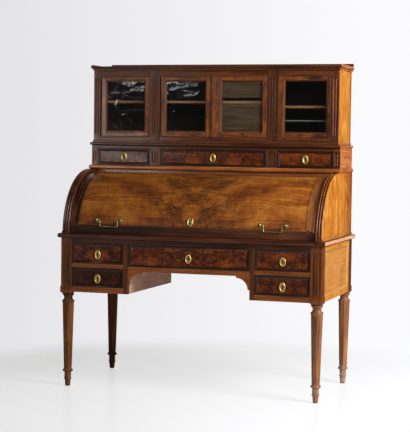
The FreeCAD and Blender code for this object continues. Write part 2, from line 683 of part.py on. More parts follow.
def cylinder_pivot(side):
    """Plate on the inside of a cheek with the pin that an arm turns on."""
    plate_x = sided(side, CHEEK_INNER - PIVOT_PLATE_THICKNESS, CHEEK_INNER)
    plate_y = span(PIVOT_Y - PIVOT_PLATE_LENGTH / 2, PIVOT_PLATE_LENGTH)
    plate_z = span(DESK_TOP - PIVOT_PLATE_HEIGHT / 2, PIVOT_PLATE_HEIGHT)
    start = Vector(side * (CHEEK_INNER - PIVOT_PLATE_THICKNESS), PIVOT_Y, DESK_TOP)
    length = CHEEK_INNER - PIVOT_PLATE_THICKNESS - ARM_INNER + RUN_GAP
    pin = Part.makeCylinder(PIVOT_RADIUS, length, start, Vector(-side, 0, 0))
    return board(plate_x, plate_y, plate_z).fuse(pin)


def cylinder_core():
    """Staves that are glued side by side into the curved shell."""
    step = SHELL_SWEEP_DEG / CORE_STAVES
    radii = (CORE_INNER_RADIUS, CORE_RADIUS)
    x = (-SHELL_HALF, SHELL_HALF)
    return [curved_board(x, radii, SHELL_START_DEG + index * step, step) for index in range(CORE_STAVES)]


def cylinder_facing():
    """Border on three sides and the figured field inside it."""
    radii = (CORE_RADIUS, SHELL_RADIUS)
    field_radii = (CORE_RADIUS, SHELL_RADIUS - FIELD_SINK)
    field_half = SHELL_HALF - BORDER_WIDTH
    field_x = (-field_half, field_half)
    low_sweep = BORDER_LOW_DEG - SHELL_START_DEG
    pieces = [
        curved_board(field_x, radii, SHELL_START_DEG, low_sweep),
        curved_board(field_x, field_radii, BORDER_LOW_DEG, SHELL_SWEEP_DEG - low_sweep),
    ]
    for side in SIDES.values():
        stile_x = sided(side, field_half, SHELL_HALF)
        pieces.append(curved_board(stile_x, radii, SHELL_START_DEG, SHELL_SWEEP_DEG))
    return pieces


def cylinder_arm(side):
    """Quadrant that carries one end of the shell and turns on its pin."""
    radius = CORE_INNER_RADIUS - SEAT_GAP
    x = side * ARM_INNER
    middle_deg = ARM_START_DEG + ARM_SWEEP_DEG / 2
    face = outline(Vector(x, PIVOT_Y, DESK_TOP), [
        (around_pivot(radius, ARM_START_DEG, x),),
        (around_pivot(radius, middle_deg, x), around_pivot(radius, ARM_START_DEG + ARM_SWEEP_DEG, x)),
    ])
    along = Vector(side, 0, 0)
    hub = Part.makeCylinder(HUB_RADIUS, ARM_THICKNESS, Vector(x, PIVOT_Y, DESK_TOP), along)
    start = Vector(x - side * OVERRUN, PIVOT_Y, DESK_TOP)
    hole = Part.makeCylinder(PIVOT_RADIUS + PIN_GAP, ARM_THICKNESS + 2 * OVERRUN, start, along)
    return face.extrude(along * ARM_THICKNESS).fuse(hub).cut(hole)


def keyhole(centre, depth):
    """Cutter for a keyhole through a plate that looks along -Y."""
    start = centre - Vector(0, OVERRUN, 0)
    length = depth + 2 * OVERRUN
    eye = Part.makeCylinder(KEYHOLE_RADIUS, length, start, Vector(0, 1, 0))
    slot_x = span(centre.x - KEYHOLE_SLOT_WIDTH / 2, KEYHOLE_SLOT_WIDTH)
    slot = board(slot_x, span(start.y, length), (centre.z - KEYHOLE_SLOT_LENGTH, centre.z))
    return eye.fuse(slot)


def oval(centre, depth):
    """Upright oval plate of the escutcheons' size, from one depth towards the back."""
    high = centre + Vector(0, 0, ESCUTCHEON_HEIGHT / 2)
    wide = centre + Vector(ESCUTCHEON_WIDTH / 2, 0, 0)
    rim = Part.Ellipse(high, wide, centre).toShape()
    return Part.Face(Part.Wire(rim)).extrude(Vector(0, depth, 0))


def escutcheon(centre):
    """Oval plate with a keyhole whose back lies at the centre point."""
    front = centre - Vector(0, ESCUTCHEON_THICKNESS, 0)
    return oval(front, ESCUTCHEON_THICKNESS).cut(keyhole(front, ESCUTCHEON_THICKNESS))


def curved_escutcheon():
    """Oval plate bent to the cylinder's field."""
    field_radius = SHELL_RADIUS - FIELD_SINK
    rise_deg = math.degrees(math.asin(CYLINDER_LOCK_RISE / SHELL_RADIUS))
    reach = ESCUTCHEON_HEIGHT + ESCUTCHEON_THICKNESS
    front = around_pivot(field_radius, rise_deg) - Vector(0, reach / 2, 0)
    prism = oval(front, reach).cut(keyhole(front, reach))
    radii = (field_radius, field_radius + ESCUTCHEON_THICKNESS)
    band_x = (-ESCUTCHEON_WIDTH, ESCUTCHEON_WIDTH)
    return prism.common(curved_board(band_x, radii, SHELL_START_DEG, QUARTER_DEG / 2))


def handle_point(x):
    """Point on the axis that a bail hangs from."""
    radius = SHELL_RADIUS - FIELD_SINK + HANDLE_STANDOFF
    return around_pivot(radius, math.degrees(math.asin(HANDLE_RISE / radius)), x)


def handle_post(centre_x, end):
    """Rosette, stem and drilled head that hold one end of a bail."""
    head = handle_point(centre_x + end * HANDLE_POST_SPACING / 2)
    axis_point = Vector(head.x, PIVOT_Y, DESK_TOP)
    outward = (head - axis_point).normalize()
    seat = axis_point + outward * (SHELL_RADIUS - FIELD_SINK)
    rosette = Part.makeCylinder(ROSETTE_RADIUS, ROSETTE_THICKNESS, seat, outward)
    stem = Part.makeCylinder(POST_STEM_RADIUS, HANDLE_STANDOFF, seat, outward)
    ball = Part.makeSphere(POST_HEAD_RADIUS, head)
    inward = Vector(-end, 0, 0)
    start = head - inward * (BAIL_END_LENGTH + RUN_GAP)
    hole = Part.makeCylinder(BAIL_ROD_RADIUS + PIN_GAP, POST_HEAD_RADIUS + HANDLE_STANDOFF, start, inward)
    return rosette.fuse([stem, ball]).cut(hole)


def bail(centre_x):
    """Rod bent to a square U whose ends turn outwards into the posts."""
    head = handle_point(centre_x)
    reach = HANDLE_POST_SPACING / 2 + BAIL_END_LENGTH
    half = BAIL_WIDTH / 2
    bend = BAIL_BEND_RADIUS
    inside = bend * (1 - DIAGONAL_SHARE)

    def at(across, drop):
        return Vector(centre_x + across, head.y, head.z - drop)

    edges = []
    for end in (-1, 1):
        path = [
            Part.LineSegment(at(end * reach, 0), at(end * (half + bend), 0)),
            Part.Arc(at(end * (half + bend), 0), at(end * (half + inside), inside), at(end * half, bend)),
            Part.LineSegment(at(end * half, bend), at(end * half, BAIL_DROP - bend)),
            Part.Arc(
                at(end * half, BAIL_DROP - bend),
                at(end * (half - inside), BAIL_DROP - inside),
                at(end * (half - bend), BAIL_DROP),
            ),
        ]
        edges.extend(curve.toShape() for curve in path)
    edges.append(Part.LineSegment(at(bend - half, BAIL_DROP), at(half - bend, BAIL_DROP)).toShape())
    spine = Part.Wire(Part.__sortEdges__(edges))
    ring = Part.Wire(Part.makeCircle(BAIL_ROD_RADIUS, at(-reach, 0), Vector(1, 0, 0)))
    return spine.makePipeShell([ring], True, False)


def drawer(x, z, y, bevelled):
    """Front, two sides, back and bottom of a drawer that fills an opening between two depths."""
    front_y = y[0]
    front_x = (x[0] + FRONT_GAP, x[1] - FRONT_GAP)
    front_z = (z[0] + FRONT_GAP, z[1] - FRONT_GAP)
    box_y = (front_y + DRAWER_FRONT_THICKNESS, y[1])
    face = board(front_x, (front_y, box_y[0]), front_z)
    if bevelled:
        field_x = (front_x[0] + DRAWER_BORDER, front_x[1] - DRAWER_BORDER)
        field_z = (front_z[0] + DRAWER_BORDER, front_z[1] - DRAWER_BORDER)
        face = face.cut(bevelled_pocket(field_x, field_z, front_y, DRAWER_BEVEL, DRAWER_FIELD_SINK))
    low = z[0] + RUN_GAP
    side_z = (low, z[1] - DRAWER_HEAD_ROOM)
    inner_x = (front_x[0] + DRAWER_SIDE_THICKNESS, front_x[1] - DRAWER_SIDE_THICKNESS)
    back_y = box_y[1] - DRAWER_SIDE_THICKNESS
    return [
        face,
        board((front_x[0], inner_x[0]), box_y, side_z),
        board((inner_x[1], front_x[1]), box_y, side_z),
        board(inner_x, (back_y, box_y[1]), side_z),
        board(inner_x, (box_y[0], back_y), span(low + DRAWER_BOTTOM_RISE, DRAWER_BOTTOM_THICKNESS)),
    ]


def drawer_lock(x, z, front_y, drop):
    """Escutcheon on the field and lock case behind the front."""
    centre = Vector((x[0] + x[1]) / 2, front_y + DRAWER_FIELD_SINK, (z[0] + z[1]) / 2 - drop)
    case = board(
        span(centre.x - LOCK_WIDTH / 2, LOCK_WIDTH),
        span(front_y + DRAWER_FRONT_THICKNESS, LOCK_THICKNESS),
        span(centre.z - LOCK_HEIGHT / 2, LOCK_HEIGHT),
    )
    return [escutcheon(centre), case]


def pigeonhole_case():
    """Open case on the slide's guides: a drawer below two pigeonholes on each side of a niche."""
    thick = PIGEONHOLE_BOARD
    half = PIGEONHOLE_HALF
    y = (PIGEONHOLE_FRONT, PIGEONHOLE_END)
    inside_y = (y[0], y[1] - PIGEONHOLE_BACK)
    top = DESK_TOP + PIGEONHOLE_HEIGHT
    inside_z = (DESK_TOP + thick, top - thick)
    shelf_z = span(inside_z[0] + PIGEONHOLE_DRAWER_HEIGHT, thick)
    pieces = [
        board((-half, half), y, span(DESK_TOP, thick)),
        board((-half, half), y, (inside_z[1], top)),
        board((-half, half), (inside_y[1], y[1]), inside_z),
    ]
    for side in SIDES.values():
        bay = (PIGEONHOLE_BAY_HALF + thick, half - thick)
        middle = (bay[0] + bay[1]) / 2
        pieces.append(board(sided(side, bay[1], half), inside_y, inside_z))
        pieces.append(board(sided(side, PIGEONHOLE_BAY_HALF, bay[0]), inside_y, inside_z))
        pieces.append(board(sided(side, *bay), inside_y, shelf_z))
        divider = sided(side, middle - thick / 2, middle + thick / 2)
        pieces.append(board(divider, inside_y, (shelf_z[1], inside_z[1])))
    return pieces


def pigeonhole_drawer(side):
    """Small plain drawer with a turned knob."""
    thick = PIGEONHOLE_BOARD
    x = sided(side, PIGEONHOLE_BAY_HALF + thick, PIGEONHOLE_HALF - thick)
    z = span(DESK_TOP + thick, PIGEONHOLE_DRAWER_HEIGHT)
    seat = Vector((x[0] + x[1]) / 2, PIGEONHOLE_FRONT, (z[0] + z[1]) / 2)
    stem = Part.makeCylinder(KNOB_STEM_RADIUS, KNOB_STEM_LENGTH, seat, Vector(0, -1, 0))
    knob = stem.fuse(Part.makeSphere(KNOB_RADIUS, seat - Vector(0, KNOB_STEM_LENGTH + KNOB_RADIUS / 2, 0)))
    drawer_y = (PIGEONHOLE_FRONT, PIGEONHOLE_END - PIGEONHOLE_BACK - PIGEONHOLE_DRAWER_BACK_ROOM)
    return drawer(x, z, drawer_y, False) + [knob]


def cylinder_top_board():
    """Board on the cheeks and the rail under its front that meets the shell."""
    fascia_y = span(STAGE_FRONT + FASCIA_SETBACK, FASCIA_DEPTH)
    ahead = fascia_y[0] - PIVOT_Y
    clear = SHELL_RADIUS + FASCIA_GAP
    fascia_z = (DESK_TOP + math.sqrt(clear * clear - ahead * ahead), STAGE_Z)
    stage_z = span(STAGE_Z, STAGE_THICKNESS)
    faces = ["front", "left", "right"]
    return [
        nosed_board((-CASE_HALF, CASE_HALF), (STAGE_FRONT, UPPER_BACK), stage_z, STAGE_ROUND, faces),
        board((-CHEEK_INNER, CHEEK_INNER), fascia_y, fascia_z),
    ]


def small_drawer_openings():
    """Name and width of each small drawer's opening."""
    corner = SMALL_CASE_HALF - SMALL_CORNER_WIDTH
    near = SMALL_DIVIDER_CENTRE - SMALL_DIVIDER_WIDTH / 2
    far = SMALL_DIVIDER_CENTRE + SMALL_DIVIDER_WIDTH / 2
    return {"left": (-corner, -far), "centre": (-near, near), "right": (far, corner)}


def small_drawer_case():
    """Ends, reeded uprights, partitions and top of the small drawers' case."""
    z = (SMALL_CASE_Z, SMALL_TOP_Z)
    flute_z = (z[0] + PILASTER_FLUTE_MARGIN, z[1] - PILASTER_FLUTE_MARGIN)
    upright_y = span(SMALL_FRONT, SMALL_PILASTER_DEPTH)
    half = SMALL_CASE_HALF
    pieces = [board((-half, half), (SMALL_FRONT, UPPER_BACK), span(SMALL_TOP_Z, SMALL_CASE_TOP_THICKNESS))]
    for side in SIDES.values():
        end_x = sided(side, half - SMALL_CASE_END_THICKNESS, half)
        pieces.append(board(end_x, (upright_y[1], UPPER_BACK), z))
        partition = sided(
            side,
            SMALL_DIVIDER_CENTRE - PARTITION_THICKNESS / 2,
            SMALL_DIVIDER_CENTRE + PARTITION_THICKNESS / 2,
        )
        pieces.append(board(partition, (upright_y[1], UPPER_BOARD_Y), z))
        uprights = (
            (half - SMALL_CORNER_WIDTH / 2, SMALL_CORNER_WIDTH, CORNER_FLUTES),
            (SMALL_DIVIDER_CENTRE, SMALL_DIVIDER_WIDTH, MIDDLE_FLUTES),
        )
        for centre, width, count in uprights:
            upright = board(sided(side, centre - width / 2, centre + width / 2), upright_y, z)
            cutters = flute_row(
                side * centre, SMALL_FRONT, flute_z, count, PILASTER_FLUTE_PITCH, PILASTER_FLUTE_RADIUS
            )
            pieces.append(upright.cut(cutters))
    return pieces


def cabinet_base_moulding():
    """Round-nosed board and plinth that the glazed cabinet stands on."""
    nose_half = CABINET_HALF + NOSE_OVERHANG
    plinth_half = CABINET_HALF + PLINTH_OVERHANG
    nose_y = (CABINET_FRONT - NOSE_OVERHANG, UPPER_BACK)
    plinth_y = (CABINET_FRONT - PLINTH_OVERHANG, UPPER_BACK)
    faces = ["front", "left", "right"]
    return [
        nosed_board((-nose_half, nose_half), nose_y, (NOSE_Z, PLINTH_Z), NOSE_ROUND, faces),
        board((-plinth_half, plinth_half), plinth_y, (PLINTH_Z, CABINET_Z)),
    ]


def cabinet_sides():
    """Outer sides and inner partitions of the glazed cabinet."""
    z = (CABINET_Z, CORNICE_Z)
    pieces = []
    for side in SIDES.values():
        pieces.append(board(sided(side, CABINET_INNER, CABINET_HALF), (CABINET_FRAME_BACK, UPPER_BACK), z))
        partition = sided(
            side,
            MIDDLE_PILASTER_CENTRE - PARTITION_THICKNESS / 2,
            MIDDLE_PILASTER_CENTRE + PARTITION_THICKNESS / 2,
        )
        pieces.append(board(partition, (CABINET_FRAME_BACK, UPPER_BOARD_Y), z))
    return pieces


def cabinet_front_frame():
    """Fluted pilasters with the rail below and the frieze above each door opening."""
    y = (CABINET_FRONT, CABINET_FRAME_BACK)
    rail_y = (CABINET_FRONT + FRIEZE_SETBACK, CABINET_FRAME_BACK)
    z = (CABINET_Z, CORNICE_Z)
    flute_z = (DOOR_Z + PILASTER_FLUTE_MARGIN, FRIEZE_Z - PILASTER_FLUTE_MARGIN)
    near = MIDDLE_PILASTER_CENTRE - MIDDLE_PILASTER_WIDTH / 2
    far = MIDDLE_PILASTER_CENTRE + MIDDLE_PILASTER_WIDTH / 2
    pieces = []
    for side in SIDES.values():
        pilasters = (
            (CABINET_HALF - CORNER_PILASTER_WIDTH / 2, CORNER_PILASTER_WIDTH, CORNER_FLUTES),
            (MIDDLE_PILASTER_CENTRE, MIDDLE_PILASTER_WIDTH, MIDDLE_FLUTES),
        )
        for centre, width, count in pilasters:
            pilaster = board(sided(side, centre - width / 2, centre + width / 2), y, z)
            cutters = flute_row(
                side * centre, CABINET_FRONT, flute_z, count, PILASTER_FLUTE_PITCH, PILASTER_FLUTE_RADIUS
            )
            pieces.append(pilaster.cut(cutters))
    for x in ((-CORNER_INNER, -far), (-near, near), (far, CORNER_INNER)):
        pieces.append(board(x, rail_y, (CABINET_Z, DOOR_Z)))
        pieces.append(board(x, rail_y, (FRIEZE_Z, CORNICE_Z)))
    return pieces


def cabinet_cornice():
    """Two stepped boards that close and crown the cabinet."""
    bed_half = CABINET_HALF + CORNICE_BED_OVERHANG
    crown_half = CABINET_HALF + CORNICE_CROWN_OVERHANG
    bed_y = (CABINET_FRONT - CORNICE_BED_OVERHANG, UPPER_BACK)
    crown_y = (CABINET_FRONT - CORNICE_CROWN_OVERHANG, UPPER_BACK)
    faces = ["front", "left", "right"]
    return [
        board((-bed_half, bed_half), bed_y, (CORNICE_Z, CROWN_Z)),
        nosed_board((-crown_half, crown_half), crown_y, (CROWN_Z, ROOF_Z), CORNICE_ROUND, faces),
    ]


def gallery_rail():
    """Low rails along the back and the two sides of the cabinet's top."""
    half = CABINET_HALF + CORNICE_CROWN_OVERHANG - CORNICE_ROUND
    back_y = UPPER_BACK - GALLERY_THICKNESS
    front_y = CABINET_FRONT - CORNICE_CROWN_OVERHANG + CORNICE_ROUND
    pieces = [board((-half, half), (back_y, UPPER_BACK), span(ROOF_Z, GALLERY_BACK_HEIGHT))]
    for side in SIDES.values():
        x = sided(side, half - GALLERY_THICKNESS, half)
        pieces.append(board(x, (front_y, back_y), span(ROOF_Z, GALLERY_SIDE_HEIGHT)))
    return pieces


def cabinet_shelves():
    """Shelves between the sides and partitions; the right bay has two."""
    y = (CABINET_FRAME_BACK + SHELF_FRONT_GAP, UPPER_BOARD_Y)
    near = MIDDLE_PILASTER_CENTRE - PARTITION_THICKNESS / 2
    far = MIDDLE_PILASTER_CENTRE + PARTITION_THICKNESS / 2
    pieces = [
        board((-CABINET_INNER, -far), y, span(CABINET_Z + MAIN_SHELF_RISE, SHELF_THICKNESS)),
        board((-near, near), y, span(CABINET_Z + MAIN_SHELF_RISE, SHELF_THICKNESS)),
    ]
    for rise in RIGHT_SHELF_RISES:
        pieces.append(board((far, CABINET_INNER), y, span(CABINET_Z + rise, SHELF_THICKNESS)))
    return pieces


def door_places():
    """Name of each door with its hinge edge, its free edge and whether it meets another door."""
    near = MIDDLE_PILASTER_CENTRE - MIDDLE_PILASTER_WIDTH / 2
    far = MIDDLE_PILASTER_CENTRE + MIDDLE_PILASTER_WIDTH / 2
    places = {}
    for name, side in SIDES.items():
        places["outer_" + name] = (side * (CORNER_INNER - FRONT_GAP), side * (far + FRONT_GAP), False)
        places["inner_" + name] = (side * (near - FRONT_GAP), side * FRONT_GAP / 2, True)
    return places


def door_sight(hinge_x, free_x, meets):
    """Width and height of the opening inside a door's frame."""
    inward = math.copysign(1, free_x - hinge_x)
    free_stile = MEETING_STILE_WIDTH if meets else DOOR_STILE_WIDTH
    x = tuple(sorted((hinge_x + inward * DOOR_STILE_WIDTH, free_x - inward * free_stile)))
    low = DOOR_Z + DOOR_END_GAP + DOOR_LOW_RAIL_HEIGHT
    high = FRIEZE_Z - DOOR_END_GAP - DOOR_HIGH_RAIL_HEIGHT
    return x, (low, high)


def hinge_pivots(hinge_x, free_x):
    """Plate and pin at the foot and the head of one door."""
    inward = math.copysign(1, free_x - hinge_x)
    centre_x = hinge_x + inward * HINGE_INSET
    centre_y = CABINET_FRONT + DOOR_SETBACK + HINGE_INSET
    plate_x = span(centre_x - HINGE_PLATE_SIZE / 2, HINGE_PLATE_SIZE)
    plate_y = span(centre_y - HINGE_PLATE_SIZE / 2, HINGE_PLATE_SIZE)
    thickness = DOOR_END_GAP - RUN_GAP
    pieces = []
    for level, up in ((DOOR_Z, 1), (FRIEZE_Z, -1)):
        plate_z = tuple(sorted((level, level + up * thickness)))
        start = Vector(centre_x, centre_y, level)
        pin = Part.makeCylinder(HINGE_PIN_RADIUS, DOOR_END_GAP + HINGE_PIN_LENGTH, start, Vector(0, 0, up))
        pieces.append(board(plate_x, plate_y, plate_z).fuse(pin))
    return pieces


def door(hinge_x, free_x, meets):
    """Two stiles and two rails of a glazed door; a meeting stile carries half of the middle bead."""
    inward = math.copysign(1, free_x - hinge_x)
    front = CABINET_FRONT + DOOR_SETBACK
    back = front + DOOR_THICKNESS
    z = (DOOR_Z + DOOR_END_GAP, FRIEZE_Z - DOOR_END_GAP)
    height = Vector(0, 0, z[1] - z[0])
    pin = Vector(hinge_x + inward * HINGE_INSET, front + HINGE_INSET, z[0])
    sight_x, sight_z = door_sight(hinge_x, free_x, meets)
    hinge_sight, free_sight = sight_x if inward > 0 else sight_x[::-1]
    rounding = HINGE_INSET * DIAGONAL_SHARE
    hinge_stile = outline(Vector(hinge_x, pin.y, z[0]), [
        (Vector(pin.x - inward * rounding, pin.y - rounding, z[0]), Vector(pin.x, front, z[0])),
        (Vector(hinge_sight, front, z[0]),),
        (Vector(hinge_sight, back, z[0]),),
        (Vector(hinge_x, back, z[0]),),
    ]).extrude(height)
    depth = HINGE_PIN_LENGTH + RUN_GAP
    for level, up in ((z[0], 1), (z[1], -1)):
        start = Vector(pin.x, pin.y, level - up * OVERRUN)
        hole = Part.makeCylinder(HINGE_PIN_RADIUS + PIN_GAP, depth + OVERRUN, start, Vector(0, 0, up))
        hinge_stile = hinge_stile.cut(hole)
    pieces = [
        hinge_stile,
        board(tuple(sorted((free_x, free_sight))), (front, back), z),
        board(sight_x, (front, back), (z[0], sight_z[0])),
        board(sight_x, (front, back), (sight_z[1], z[1])),
    ]
    wide_x = (sight_x[0] - DOOR_BEVEL, sight_x[1] + DOOR_BEVEL)
    wide_z = (sight_z[0] - DOOR_BEVEL, sight_z[1] + DOOR_BEVEL)
    bevel = bevelled_pocket(wide_x, wide_z, front, DOOR_BEVEL, DOOR_BEVEL_DEPTH)
    pieces = [piece.cut(bevel) for piece in pieces]
    if meets:
        mid_x = free_x - inward * ASTRAGAL_BEAD_WIDTH * DIAGONAL_SHARE
        mid_y = front - ASTRAGAL_BEAD_PROUD * DIAGONAL_SHARE
        bead_end = Vector(free_x - inward * ASTRAGAL_BEAD_WIDTH, front, z[0])
        bead = outline(Vector(free_x, front, z[0]), [
            (Vector(free_x, front - ASTRAGAL_BEAD_PROUD, z[0]),),
            (Vector(mid_x, mid_y, z[0]), bead_end),
        ])
        pieces.append(bead.extrude(height))
    return pieces


def door_glass(hinge_x, free_x, meets):
    """Pane that fills the opening of a door's frame."""
    x, z = door_sight(hinge_x, free_x, meets)
    pane_x = (x[0] + SEAT_GAP, x[1] - SEAT_GAP)
    pane_z = (z[0] + SEAT_GAP, z[1] - SEAT_GAP)
    return board(pane_x, span(CABINET_FRONT + DOOR_SETBACK + GLASS_SETBACK, GLASS_THICKNESS), pane_z)


# Base
for end_name, end in ENDS.items():
    for side_name, side in SIDES.items():
        save("leg_" + end_name + "_" + side_name, [leg(side, end)])
save("base_front_frame", base_front_frame())
for side_name, side in SIDES.items():
    save("base_" + side_name + "_side", base_side(side))
save("base_back_panels", base_back_panels())
inner_side_y = (RAIL_BACK, BACK_BOARD_Y)
save("pedestal_inner_sides", [
    board(sided(side, KNEEHOLE_HALF, INNER_SIDE_OUTER), inner_side_y, (CASE_UNDERSIDE, BED_Z))
    for side in SIDES.values()
])
save("kneehole_brackets", [kneehole_bracket(side) for side in SIDES.values()])
save("drawer_runners", drawer_runners())

# Base drawers
base_drawer_y = (RAIL_FRONT, BACK_BOARD_Y - BASE_DRAWER_BACK_ROOM)
base_openings = {"centre": ((-KNEEHOLE_HALF, KNEEHOLE_HALF), span(CENTRE_DRAWER_Z, CENTRE_DRAWER_HEIGHT))}
for side_name, side in SIDES.items():
    pedestal = sided(side, DIVIDER_OUTER, POST_INNER)
    base_openings["lower_" + side_name] = (pedestal, span(LOWER_DRAWER_Z, LOWER_DRAWER_HEIGHT))
    base_openings["upper_" + side_name] = (pedestal, span(UPPER_DRAWER_Z, UPPER_DRAWER_HEIGHT))
for name, (x, z) in base_openings.items():
    save("drawer_" + name, drawer(x, z, base_drawer_y, True))
    save("lock_" + name, drawer_lock(x, z, RAIL_FRONT, ESCUTCHEON_DROP))

# Writing level
save("desk_bed", desk_bed())
save("desk_edge_moulding", desk_edge_moulding())
slide_boards, leather = writing_slide()
save("writing_slide", slide_boards)
save("writing_leather", leather)
save("pigeonhole_case", pigeonhole_case())
for side_name, side in SIDES.items():
    save("pigeonhole_drawer_" + side_name, pigeonhole_drawer(side))

# Cylinder
for side_name, side in SIDES.items():
    save("cheek_" + side_name, cheek(side))
save("cylinder_core", cylinder_core())
save("cylinder_facing", cylinder_facing())
save("cylinder_arms", [cylinder_arm(side) for side in SIDES.values()])
brass = [curved_escutcheon()]
for side in SIDES.values():
    for end in (-1, 1):
        brass.append(handle_post(side * HANDLE_CENTRE, end))
save("cylinder_brass", brass)
for side_name, side in SIDES.items():
    save("bail_" + side_name, [bail(side * HANDLE_CENTRE)])
save("cylinder_top_board", cylinder_top_board())
save("upper_back_boards", upper_back_boards())

# Small drawers
save("small_drawer_case", small_drawer_case())
small_z = span(SMALL_CASE_Z, SMALL_DRAWER_HEIGHT)
small_y = (SMALL_FRONT + SMALL_DRAWER_SETBACK, UPPER_BOARD_Y - SMALL_DRAWER_BACK_ROOM)
for name, x in small_drawer_openings().items():
    save("small_drawer_" + name, drawer(x, small_z, small_y, True))
    save("small_lock_" + name, drawer_lock(x, small_z, small_y[0], 0))

# Glazed cabinet
save("cabinet_base_moulding", cabinet_base_moulding())
save("cabinet_sides", cabinet_sides())
save("cabinet_front_frame", cabinet_front_frame())
save("cabinet_cornice", cabinet_cornice())
save("gallery_rail", gallery_rail())
save("cabinet_shelves", cabinet_shelves())
pivots = [cylinder_pivot(side) for side in SIDES.values()]
for name, place in door_places().items():
    save("door_" + name, door(*place))
    save("glass_" + name, [door_glass(*place)])
    pivots.extend(hinge_pivots(place[0], place[1]))
save("pivot_pins", pivots)
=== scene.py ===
"""Looks of a walnut cylinder desk with a glazed upper cabinet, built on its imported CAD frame.

Every board of the frame is taken over with its arrises eased and with a grain direction of its own.
Metal, glass and leather keep the CAD's faces. Drawer beads, escutcheon rims, the roll's stringing,
a shelf's lipping and the leather's gold lines are added here.
"""
import logging
import math
import random
from dataclasses import dataclass, field
from enum import Enum
from typing import Callable, ClassVar, Iterable, Iterator, Mapping, Optional, Sequence, Union

import bmesh
import bpy
import numpy as np
from mathutils import Matrix, Vector


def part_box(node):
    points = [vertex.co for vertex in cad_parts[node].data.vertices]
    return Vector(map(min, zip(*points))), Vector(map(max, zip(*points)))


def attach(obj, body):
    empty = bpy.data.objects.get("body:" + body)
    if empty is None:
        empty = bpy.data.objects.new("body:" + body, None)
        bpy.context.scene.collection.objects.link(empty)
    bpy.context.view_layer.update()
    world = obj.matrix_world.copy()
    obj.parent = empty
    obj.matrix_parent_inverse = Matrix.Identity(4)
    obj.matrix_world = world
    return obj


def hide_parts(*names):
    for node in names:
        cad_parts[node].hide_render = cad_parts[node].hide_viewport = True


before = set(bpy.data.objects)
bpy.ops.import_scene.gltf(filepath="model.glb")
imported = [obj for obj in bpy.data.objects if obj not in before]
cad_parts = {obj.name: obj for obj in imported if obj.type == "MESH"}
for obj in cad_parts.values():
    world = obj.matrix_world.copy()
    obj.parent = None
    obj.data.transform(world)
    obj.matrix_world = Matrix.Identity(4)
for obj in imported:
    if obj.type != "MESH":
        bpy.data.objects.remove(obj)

# A millimetre in metres.
MM = 0.001
LOG = logging.getLogger("cylinder_desk")
# The CAD's box, taken before a piece is added.
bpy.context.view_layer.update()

Tree = bpy.types.NodeTree
Socket = bpy.types.NodeSocket
Value = Union[Socket, float, tuple[float, ...]]
Inputs = Union[Mapping[Union[int, str], Value], Sequence[Value]]
Point = tuple[float, float]
Place = tuple[float, float, float]
ToPlace = Callable[[float, float, float], Vector]

# The roll's outer radius, and the y and z of its axis, which lies level with the desk's top.
ROLL_RADIUS = 305 * MM
ROLL_AXIS = (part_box("cylinder_facing")[0].y + ROLL_RADIUS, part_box("desk_edge_moulding")[1].z)
# The corners of the glazed cabinet, as its sides give them.
CABINET_LOW, CABINET_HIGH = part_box("cabinet_sides")

# Corners are told apart by whole micrometres.
MICRONS = 1e6
# Faces at an edge that lie on one another differ by less than this angle, in radians.
SAME_ANGLE = 1e-3
# Triangles that meet at less than this make one flat face.
FLAT_ANGLE = math.radians(0.4)
# Faces that meet at more than this have an arris between them.
ARRIS_ANGLE = math.radians(28)
# Faces that meet at more than this are shaded with a hard edge.
HARD_ANGLE = math.radians(38)
# A face looks along an axis where its normal's share of that axis is more than this.
FACING = 0.9
# The arris of turned, reeded and bent work, in millimetres.
FINE_ARRIS = 0.6
# How wide the planks of a back are at most, in millimetres.
PLANK = 170
# How far into its log a board may have been cut, in metres.
LOG_LENGTH = 40

# Settings of a smooth window and of a mix of two colours, which several finishes share.
SMOOTH = {"interpolation_type": "SMOOTHSTEP"}
COLOURS = {"data_type": "RGBA", "out": 2}


def linear(colour: str) -> tuple[float, float, float, float]:
    """Turns an sRGB colour into a linear one.

    Args:
        colour: the colour, as "#rrggbb".

    Returns:
        Its linear red, green and blue, and an alpha of 1.
    """
    channels = [int(colour[i:i + 2], 16) / 255 for i in (1, 3, 5)]
    bent = [c / 12.92 if c <= 0.04045 else ((c + 0.055) / 1.055) ** 2.4 for c in channels]
    return bent[0], bent[1], bent[2], 1.0


def put(tree: Tree, kind: str, inputs: Inputs = (), stops: Iterable[tuple[float, str]] = (),
        out: Union[int, str] = 0, **settings: object) -> Optional[Socket]:
    """Adds a shader node with its settings and links.

    Args:
        tree: the node tree.
        kind: the node's type, without the "ShaderNode" that it begins with.
        inputs: a value or an output for each input, in their order, or by place or name.
        stops: the places and sRGB colours of a colour ramp.
        out: the place or name of the output that is wanted.
        settings: the node's properties.

    Returns:
        The output, or None where the node has none.
    """
    node = tree.nodes.new("ShaderNode" + kind)
    for name, setting in settings.items():
        setattr(node, name, setting)
    for i, (place, colour) in enumerate(stops):
        elements = node.color_ramp.elements
        element = elements[i] if i < 2 else elements.new(place)
        element.position = place
        element.color = linear(colour)
    for key, value in inputs.items() if isinstance(inputs, dict) else enumerate(inputs):
        if isinstance(value, Socket):
            tree.links.new(value, node.inputs[key])
        else:
            node.inputs[key].default_value = value
    return node.outputs[out] if node.outputs else None


class Lay(Enum):
    """How a finish lies on a board."""

    LENGTH = "along the board"
    FRONT = "on the front, from its centre"
    ROLL = "across the cylinder, from its centre"
    CURVE = "along the cylinder's curve"


class Axis(Enum):
    """A direction of the row frame."""

    X = 0
    Y = 1
    Z = 2


def per_metre(size: Point) -> Place:
    """The scale at which a feature of a length and a width in millimetres is one unit."""
    return 1000 / size[0], 1000 / size[1], 1000 / size[1]


